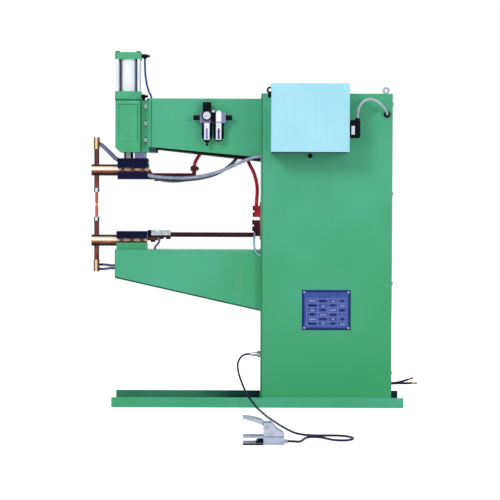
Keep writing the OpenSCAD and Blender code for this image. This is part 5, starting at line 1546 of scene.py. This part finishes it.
@dataclass
class Secondary:
    """The lower electrode and the copper path back to the transformer.

    Attributes:
        clamp_end: The clamp's right end along X.
        gap: The bottom and top of the gap between the clamp's halves.
        board: The terminal board's face along X.
        between: A height between the two terminals.
        scorched: The place along X up to which the shunt is black.
        browned: The height up to which it is browned.
    """

    clamp_end: float = -446
    gap: tuple[float, float] = (653, 671)
    board: float = 13
    between: float = 753
    scorched: float = -430
    browned: float = 683

    def build(self, shop: Workshop) -> None:
        """Builds the fixed half of the welding circuit."""
        shop.carry("lower_clamp_cap", BLACK_STEEL, edge_mm=1.2)
        # The lower copper arm gets a painted highlight and painted shade.
        copper = shop.carry("lower_copper_arm", COPPER_PAINTED_LIGHT, edge_mm=1.2, segments=3)
        shop.paint_faces(copper, BROWNED, lambda at, way: at.x > self.clamp_end)
        trim_holder(shop, shop.carry("lower_holder", HOLDER, edge_mm=0.7))
        shop.carry("lower_tip", TIP, edge_mm=0.4)
        shunt = shop.carry("lower_shunt", FOIL, edge_mm=0.4,
                           cuts=[(Axis.X, self.scorched), (Axis.Z, self.browned)])
        shop.paint_faces(shunt, DARK_SLEEVE, lambda at, way: at.z < self.browned)
        shop.paint_faces(shunt, BLACK_STEEL, lambda at, way: at.x < self.scorched)
        shop.carry("lower_conductor", DARK_SLEEVE, edge_mm=0.6)
        bolts = shop.carry("conductor_bolts", BLACK_STEEL, edge_mm=0.6, cuts=[(Axis.Z, z) for z in self.gap])
        shop.paint_faces(bolts, BROWNED, lambda at, way: at.x < self.clamp_end
                         and self.gap[0] < at.z < self.gap[1])
        terminals = shop.carry("secondary_terminals", COPPER, edge_mm=0.9, cuts=[(Axis.X, self.board)])
        for finish, side in ((SLEEVE, 1), (DARK_SLEEVE, -1)):
            shop.paint_faces(terminals, finish, lambda at, way: at.x < self.board
                             and side * (at.z - self.between) > 0)
        shop.carry("terminal_board", BOARD, edge_mm=0.5)
        shop.carry("transformer_core", CORE, edge_mm=0.8)
        shop.carry("transformer_windings", WINDING, edge_mm=3.0, segments=3)


@dataclass
class ControlBox:
    """The sheet-metal control box, its cover, knob, plug and glands.

    Attributes:
        bottom: The box's underside.
        plug_front: The plug's front along Y.
        latch: The left, bottom, right and top of the plug's latch.
        latch_proud: How far the latch stands out of the plug.
        latch_rim: The width of its rim.
        latch_crown: How far its middle stands out of its rim.
        pedal_side: A place along X between the pedal cord's gland and the other fittings.
    """

    bottom: float = 1014
    plug_front: float = -235
    latch: tuple[float, float, float, float] = (363, 1084, 376, 1118)
    latch_proud: float = 2.5
    latch_rim: float = 2.5
    latch_crown: float = 0.8
    pedal_side: float = 100

    def build(self, shop: Workshop) -> None:
        """Builds the box and its fittings."""
        box = shop.carry("control_box", PALE_BLUE, edge_mm=0.8)
        # The box's underside gets dark painted shadow.
        shop.paint_faces(box, DARK_SHADE, lambda at, way: way.z < -0.9 and at.z < self.bottom + PAST)
        shop.paint_faces(box, GREEN, lambda at, way: at.z < self.bottom - PAST)
        shop.carry("control_box_cover", PALE_BLUE, edge_mm=0.9)
        shop.carry("panel_knob", PLASTIC, Body.SELECTOR, edge_mm=0.8)
        fittings = shop.carry("cable_fittings", PLASTIC, edge_mm=0.8)
        shop.paint_faces(fittings, BOLT, lambda at, way: at.x < self.pedal_side)
        x0, z0, x1, z1 = self.latch
        latch = block("plug_latch", (x0, self.plug_front - self.latch_proud, z0), (x1, self.plug_front, z1))
        crown(latch, self.latch_rim, self.latch_crown)
        soften(latch, 0.5)
        shop.mount(latch, WHITE)


@dataclass
class AirSet:
    """The filter, regulator and lubricator on the side of the upper arm.

    Attributes:
        left: The left unit's axis along X.
        right: The right unit's axis.
        front: The front of the units along Y.
        back: Their back, behind which their bracket lies.
        body_ends: Their two ends along X, past which their pipe fittings lie.
        top: Their top.
        neck_end: How far right of the left axis the regulator's neck ends.
        filler_start: How far right of that axis the oiler's filler plug starts.
        bowl_top: The top of the bowls.
        bowl_bottom: Their bottom.
        boot: The height of the dark boot at their bottom.
        slot: The bottom and top of the sight slots.
        slot_half: Half the width of a slot.
        slot_depth: How far behind the front a slot's floor may lie, at least and at most.
        window: How far from a bowl's axis its milky front ends.
        strap: The thickness of a guard's strap.
        strap_in: How far from the axis a strap starts.
        strap_up: How far above the bowl's bottom it starts.
        strap_way: The least part along X, and the most along Z, of the normal of a face under a strap.
        dial_z: The height of the gauge's middle.
        dial_floor: The floor of its case along Y.
        dial_width: The diameter of the dial.
        face_width: The diameter of its white face.
        ticks: How many marks the scale has.
        sweep: The angle of the scale in degrees.
        tick_width: The width of a mark.
        tick_relief: How far before the floor a mark's front and back lie.
        long_tick: How far from the middle a long mark starts.
        short_tick: How far from it a short one starts.
        tick_end: How far from it they end.
        glass: How far before the floor the glass lies.
        glass_rim: The diameter of the glass inside its rounded edge.
    """

    left: float = -204.5
    right: float = -157.5
    front: float = -140
    back: float = -103
    body_ends: tuple[float, float] = (-232.3, -129.7)
    top: float = 1174
    neck_end: float = 10
    filler_start: float = 15
    bowl_top: float = 1132
    bowl_bottom: float = 1058
    boot: float = 7
    slot: tuple[float, float] = (1068, 1112)
    slot_half: float = 4.3
    slot_depth: tuple[float, float] = (0.4, 6)
    window: float = 11.0
    strap: float = 2.6
    strap_in: float = 9
    strap_up: float = 16
    strap_way: tuple[float, float] = (0.7, 0.2)
    dial_z: float = 1160
    dial_floor: float = -154
    dial_width: float = 33.4
    face_width: float = 30.0
    ticks: int = 31
    sweep: float = 270
    tick_width: float = 0.36
    tick_relief: tuple[float, float] = (0.68, 0.45)
    long_tick: float = 11.2
    short_tick: float = 12.6
    tick_end: float = 14.4
    glass: float = 3.3
    glass_rim: float = 31.5

    def build(self, shop: Workshop) -> None:
        """Builds the air set."""
        body = shop.carry("frl_body", DULL_CAST, edge_mm=1.4)
        low, high = self.body_ends
        shop.paint_faces(body, PLASTIC, lambda at, way: not low < at.x < high or at.y > self.back
                         or (at.z > self.top + PAST and at.x < self.left + self.neck_end))
        shop.paint_faces(body, WHITE, lambda at, way: at.z > self.top + PAST
                         and at.x > self.left + self.filler_start)
        self.front_pieces(shop)
        self.bowls(shop)
        shop.carry("pressure_gauge", PLASTIC, edge_mm=0.6)
        self.dial(shop)
        shop.carry("regulator_knob", PLASTIC, Body.PRESSURE, edge_mm=2.4, segments=3)
        shop.carry("gauge_pointer", RED, Body.POINTER, edge_mm=0.1)
        shop.carry("drain_cock", PLASTIC, Body.DRAIN, edge_mm=0.5)

    def front_pieces(self, shop: Workshop) -> None:
        """Adds the dark coupling between the two units and the oiler's white sight block."""
        for name, x0, x1, z0, z1, proud, finish in (
                ("unit_coupling", -188, -170, 1132.5, 1173.5, 3, PLASTIC),
                ("sight_block", -168, -147, 1136, 1173.5, 5, WHITE)):
            piece = block(name, (x0, self.front - proud, z0), (x1, self.front, z1))
            crown(piece, rim=3, rise=0.8)
            soften(piece, 0.8)
            shop.mount(piece, finish)

    def bowls(self, shop: Workshop) -> None:
        """Makes the milky bowls, held by the dark straps of a guard, with a sight slot each."""
        piece = shop.copy_node("frl_bowls")
        across, upright = self.strap_way

        def off(x: float) -> float:
            """Gives how far along X a place is from the nearer bowl's axis, in millimetres."""
            return min(abs(x - self.left), abs(x - self.right))

        def strap(face: bmesh.types.BMFace) -> bool:
            """Says whether a face lies under one of the guard's straps."""
            at = face.calc_center_median() / MM
            return (abs(face.normal.x) > across and abs(face.normal.z) < upright
                    and off(at.x) > self.strap_in
                    and self.bowl_bottom + self.strap_up < at.z < self.bowl_top)

        # The guard's dark straps are made wide enough to take in the painted shade between the bowls too.
        with editing(piece):
            pick_faces(piece, strap)
            bpy.ops.mesh.extrude_region_shrink_fatten(TRANSFORM_OT_shrink_fatten={"value": self.strap * MM})
        soften(piece, 0.5)
        shop.dress(piece, MILKY)
        # The dark sides and boot stand for the guard and also for painted shade beside and under the bowls.
        shop.paint_faces(piece, PLASTIC, lambda at, way: at.z < self.bowl_bottom + self.boot
                         or (at.z < self.bowl_top and off(at.x) > self.window))
        near, far = self.slot_depth
        for x, finish in ((self.left, SIGHT), (self.right, DARK_SIGHT)):
            shop.paint_faces(piece, finish, lambda at, way: abs(at.x - x) < self.slot_half
                             and self.slot[0] < at.z < self.slot[1] and near < at.y - self.front < far)
        shop.mount(piece, MILKY, Body.FRAME, ["frl_bowls"], dressed=True)

    def dial(self, shop: Workshop) -> None:
        """Adds the gauge's dial with its scale, and the glass over it."""
        middle = (self.left, self.dial_floor, self.dial_z)
        disc = turned("dial", middle, Axis.Y, (
            (0.3, self.dial_width), (-0.4, self.dial_width), (-0.5, self.face_width + 0.5),
            (-0.5, self.face_width)))
        shop.dress(disc, WHITE)
        shop.paint_faces(disc, PLASTIC, lambda at, way: math.hypot(
            at.x - self.left, at.z - self.dial_z) > self.face_width / 2 - 0.1)
        shop.mount(disc, WHITE, dressed=True)
        marks = []
        half = self.tick_width / 2
        front, back = (self.dial_floor - relief for relief in self.tick_relief)
        for i in range(self.ticks):
            start = self.long_tick if i % 5 == 0 else self.short_tick
            mark = block("tick", (self.left - half, front, self.dial_z + start),
                         (self.left + half, back, self.dial_z + self.tick_end))
            turn = math.radians(self.sweep * (i / (self.ticks - 1) - 0.5))
            centre = Matrix.Translation(Vector(middle) * MM)
            mark.data.transform(centre @ Matrix.Rotation(turn, 4, "Y") @ centre.inverted())
            marks.append(mark)
        scale = fuse("dial_scale", marks)
        soften(scale, 0.05, 1)
        shop.mount(scale, CAST)
        pane = turned("dial_glass", (self.left, self.dial_floor - self.glass, self.dial_z), Axis.Y,
                      ((0.0, self.dial_width), (-0.3, self.dial_width), (-0.55, self.glass_rim)))
        shop.mount(pane, GLASS)


@dataclass
class FootSwitch:
    """The cast foot switch on the floor.

    Attributes:
        body_x: The place along X where its body starts, behind the treadle.
        plate_top: The top of its base plate.
        plate_edge: The height of the plate's bright edge.
        guard: The height up to which it is dark over the plate.
        joint: The bottom and top of the joint between its two castings.
    """

    body_x: float = 11.5
    plate_top: float = 6.4
    plate_edge: float = 1.4
    guard: float = 22.8
    joint: tuple[float, float] = (26.4, 29.4)

    def build(self, shop: Workshop) -> None:
        """Builds the foot switch."""
        base = shop.carry("footswitch_base", CAST, edge_mm=1.2, segments=3,
                          cuts=[(Axis.Z, place) for place in self.joint])
        shop.paint_faces(base, JOINT, lambda at, way: at.x > self.body_x
                         and self.joint[0] < at.z < self.joint[1])
        edge = self.plate_top - self.plate_edge
        shop.paint_faces(base, PLASTIC, lambda at, way: at.x < self.body_x
                         and (at.z < edge or self.plate_top < at.z < self.guard))
        shop.carry("treadle", CAST, Body.TREADLE, edge_mm=0.9)
        shop.carry("treadle_pin", BOLT, edge_mm=0.5)


@dataclass
class Studio:
    """A pale floor, soft lamps and the camera at the photograph's viewing angle.

    Attributes:
        eye: The camera's place in metres.
        yaw: The turn to the left in degrees.
        pitch: The tilt upwards in degrees.
        roll: The turn about the line of sight in degrees.
        lens_mm: The focal length.
        sensor_mm: The width of the sensor.
        ambient: The strength of the even light from all round.
        floor_size: The side of the floor in metres.
        floor_glow: How much white the floor adds where it is seen itself.
        aim: The place that the lamps are turned to, in metres.
        lamps: Each lamp's name, its place and size in metres, and its power in watts.
    """

    eye: Point = (-0.0611, -7.140, 0.8244)
    yaw: float = -0.242
    pitch: float = -1.605
    roll: float = 0.213
    lens_mm: float = 126.94
    sensor_mm: float = 36.0
    ambient: float = 0.46
    floor_size: float = 80.0
    floor_glow: float = 0.6
    aim: Point = (0, 0, 0.7)
    lamps: Sequence[tuple[str, Point, float, float]] = (
        ("key_lamp", (-2.6, -5.2, 3.6), 1.5, 130.0),
        ("fill_lamp", (3.2, -5.4, 2.0), 1.5, 70.0),
        ("top_lamp", (0.0, 0.2, 4.6), 2.4, 50.0),
        ("back_lamp", (1.5, 5.0, 3.2), 2.4, 80.0))

    def background_share(self, tree: bpy.types.NodeTree) -> bpy.types.NodeSocket:
        """Gives 1 to rays that see the background itself, and 0 to those that light the object."""
        path = add_node(tree, "ShaderNodeLightPath")
        first = add_node(tree, "ShaderNodeMath", {
            0: path.outputs["Is Camera Ray"], 1: path.outputs["Is Glossy Ray"]}, operation="MAXIMUM")
        both = add_node(tree, "ShaderNodeMath", {
            0: first.outputs[0], 1: path.outputs["Is Transmission Ray"]}, operation="MAXIMUM")
        return both.outputs[0]

    def light_world(self) -> None:
        """Lights the scene evenly, with a white backdrop."""
        world = bpy.data.worlds.new("backdrop")
        bpy.context.scene.world = world
        world.use_nodes = True
        tree = world.node_tree
        tree.nodes.clear()
        seen = add_node(tree, "ShaderNodeBackground", {"Color": linear("#FFFFFF"), "Strength": 1.0})
        light = add_node(tree, "ShaderNodeBackground", {"Color": linear("#FFFFFF"), "Strength": self.ambient})
        mix = add_node(tree, "ShaderNodeMixShader", {
            0: self.background_share(tree), 1: light.outputs[0], 2: seen.outputs[0]})
        add_node(tree, "ShaderNodeOutputWorld", {"Surface": mix.outputs[0]})

    def lay_floor(self) -> None:
        """Lays the floor, which keeps the object's shadow."""
        bpy.ops.object.select_all(action="DESELECT")
        bpy.ops.mesh.primitive_plane_add(size=self.floor_size)
        floor = bpy.context.object
        floor.name = "floor"
        material = bpy.data.materials.new("white_studio_floor")
        material.use_nodes = True
        tree = material.node_tree
        tree.nodes.clear()
        matt = add_node(tree, "ShaderNodeBsdfDiffuse", {"Color": linear("#F4F4F4")})
        share = add_node(tree, "ShaderNodeMath", {
            0: self.background_share(tree), 1: self.floor_glow}, operation="MULTIPLY")
        glow = add_node(tree, "ShaderNodeEmission", {
            "Color": linear("#FFFFFF"), "Strength": share.outputs[0]})
        both = add_node(tree, "ShaderNodeAddShader", {0: matt.outputs[0], 1: glow.outputs[0]})
        add_node(tree, "ShaderNodeOutputMaterial", {"Surface": both.outputs[0]})
        floor.data.materials.append(material)

    def hang_lamps(self) -> None:
        """Hangs the soft lamps, each turned to the machine's middle."""
        for name, place, size, power in self.lamps:
            lamp = bpy.data.lights.new(name, "AREA")
            lamp.size = size
            lamp.energy = power
            holder = bpy.data.objects.new(name, lamp)
            holder.location = place
            holder.rotation_euler = (Vector(self.aim) - Vector(place)).to_track_quat("-Z", "Y").to_euler()
            bpy.context.collection.objects.link(holder)

    def set_camera(self) -> None:
        """Sets the camera up from its place and its three angles."""
        yaw, pitch, roll = (math.radians(a) for a in (self.yaw, self.pitch, self.roll))
        right = Vector((math.cos(yaw), math.sin(yaw), 0))
        ahead = Vector((-math.sin(yaw) * math.cos(pitch), math.cos(yaw) * math.cos(pitch), math.sin(pitch)))
        up = right.cross(ahead)
        across = right * math.cos(roll) + up * math.sin(roll)
        over = up * math.cos(roll) - right * math.sin(roll)
        lens = bpy.data.cameras.new("camera")
        lens.lens = self.lens_mm
        lens.sensor_width = self.sensor_mm
        lens.clip_end = 200.0
        camera = bpy.data.objects.new("camera", lens)
        turn = Matrix((across, over, -ahead)).transposed().to_4x4()
        camera.matrix_world = Matrix.Translation(Vector(self.eye)) @ turn
        bpy.context.collection.objects.link(camera)
        bpy.context.scene.camera = camera

    def build(self) -> None:
        """Sets the whole studio up."""
        bpy.context.scene.view_settings.view_transform = "Standard"
        self.set_camera()
        self.light_world()
        self.lay_floor()
        self.hang_lamps()


def main() -> None:
    """Builds the studio, then every sub-assembly in order."""
    logging.basicConfig(level=logging.INFO, format="%(message)s")
    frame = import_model()
    shop = Workshop(frame["nodes"])
    Studio().build()
    for assembly in (
            Lines(), Stand(), Arms(), PressHead(), Ram(), Secondary(), ControlBox(), AirSet(), FootSwitch()):
        assembly.build(shop)
    log.info("%d pieces", shop.count)
    bpy.context.view_layer.update()


if __name__ == "__main__":
    main()
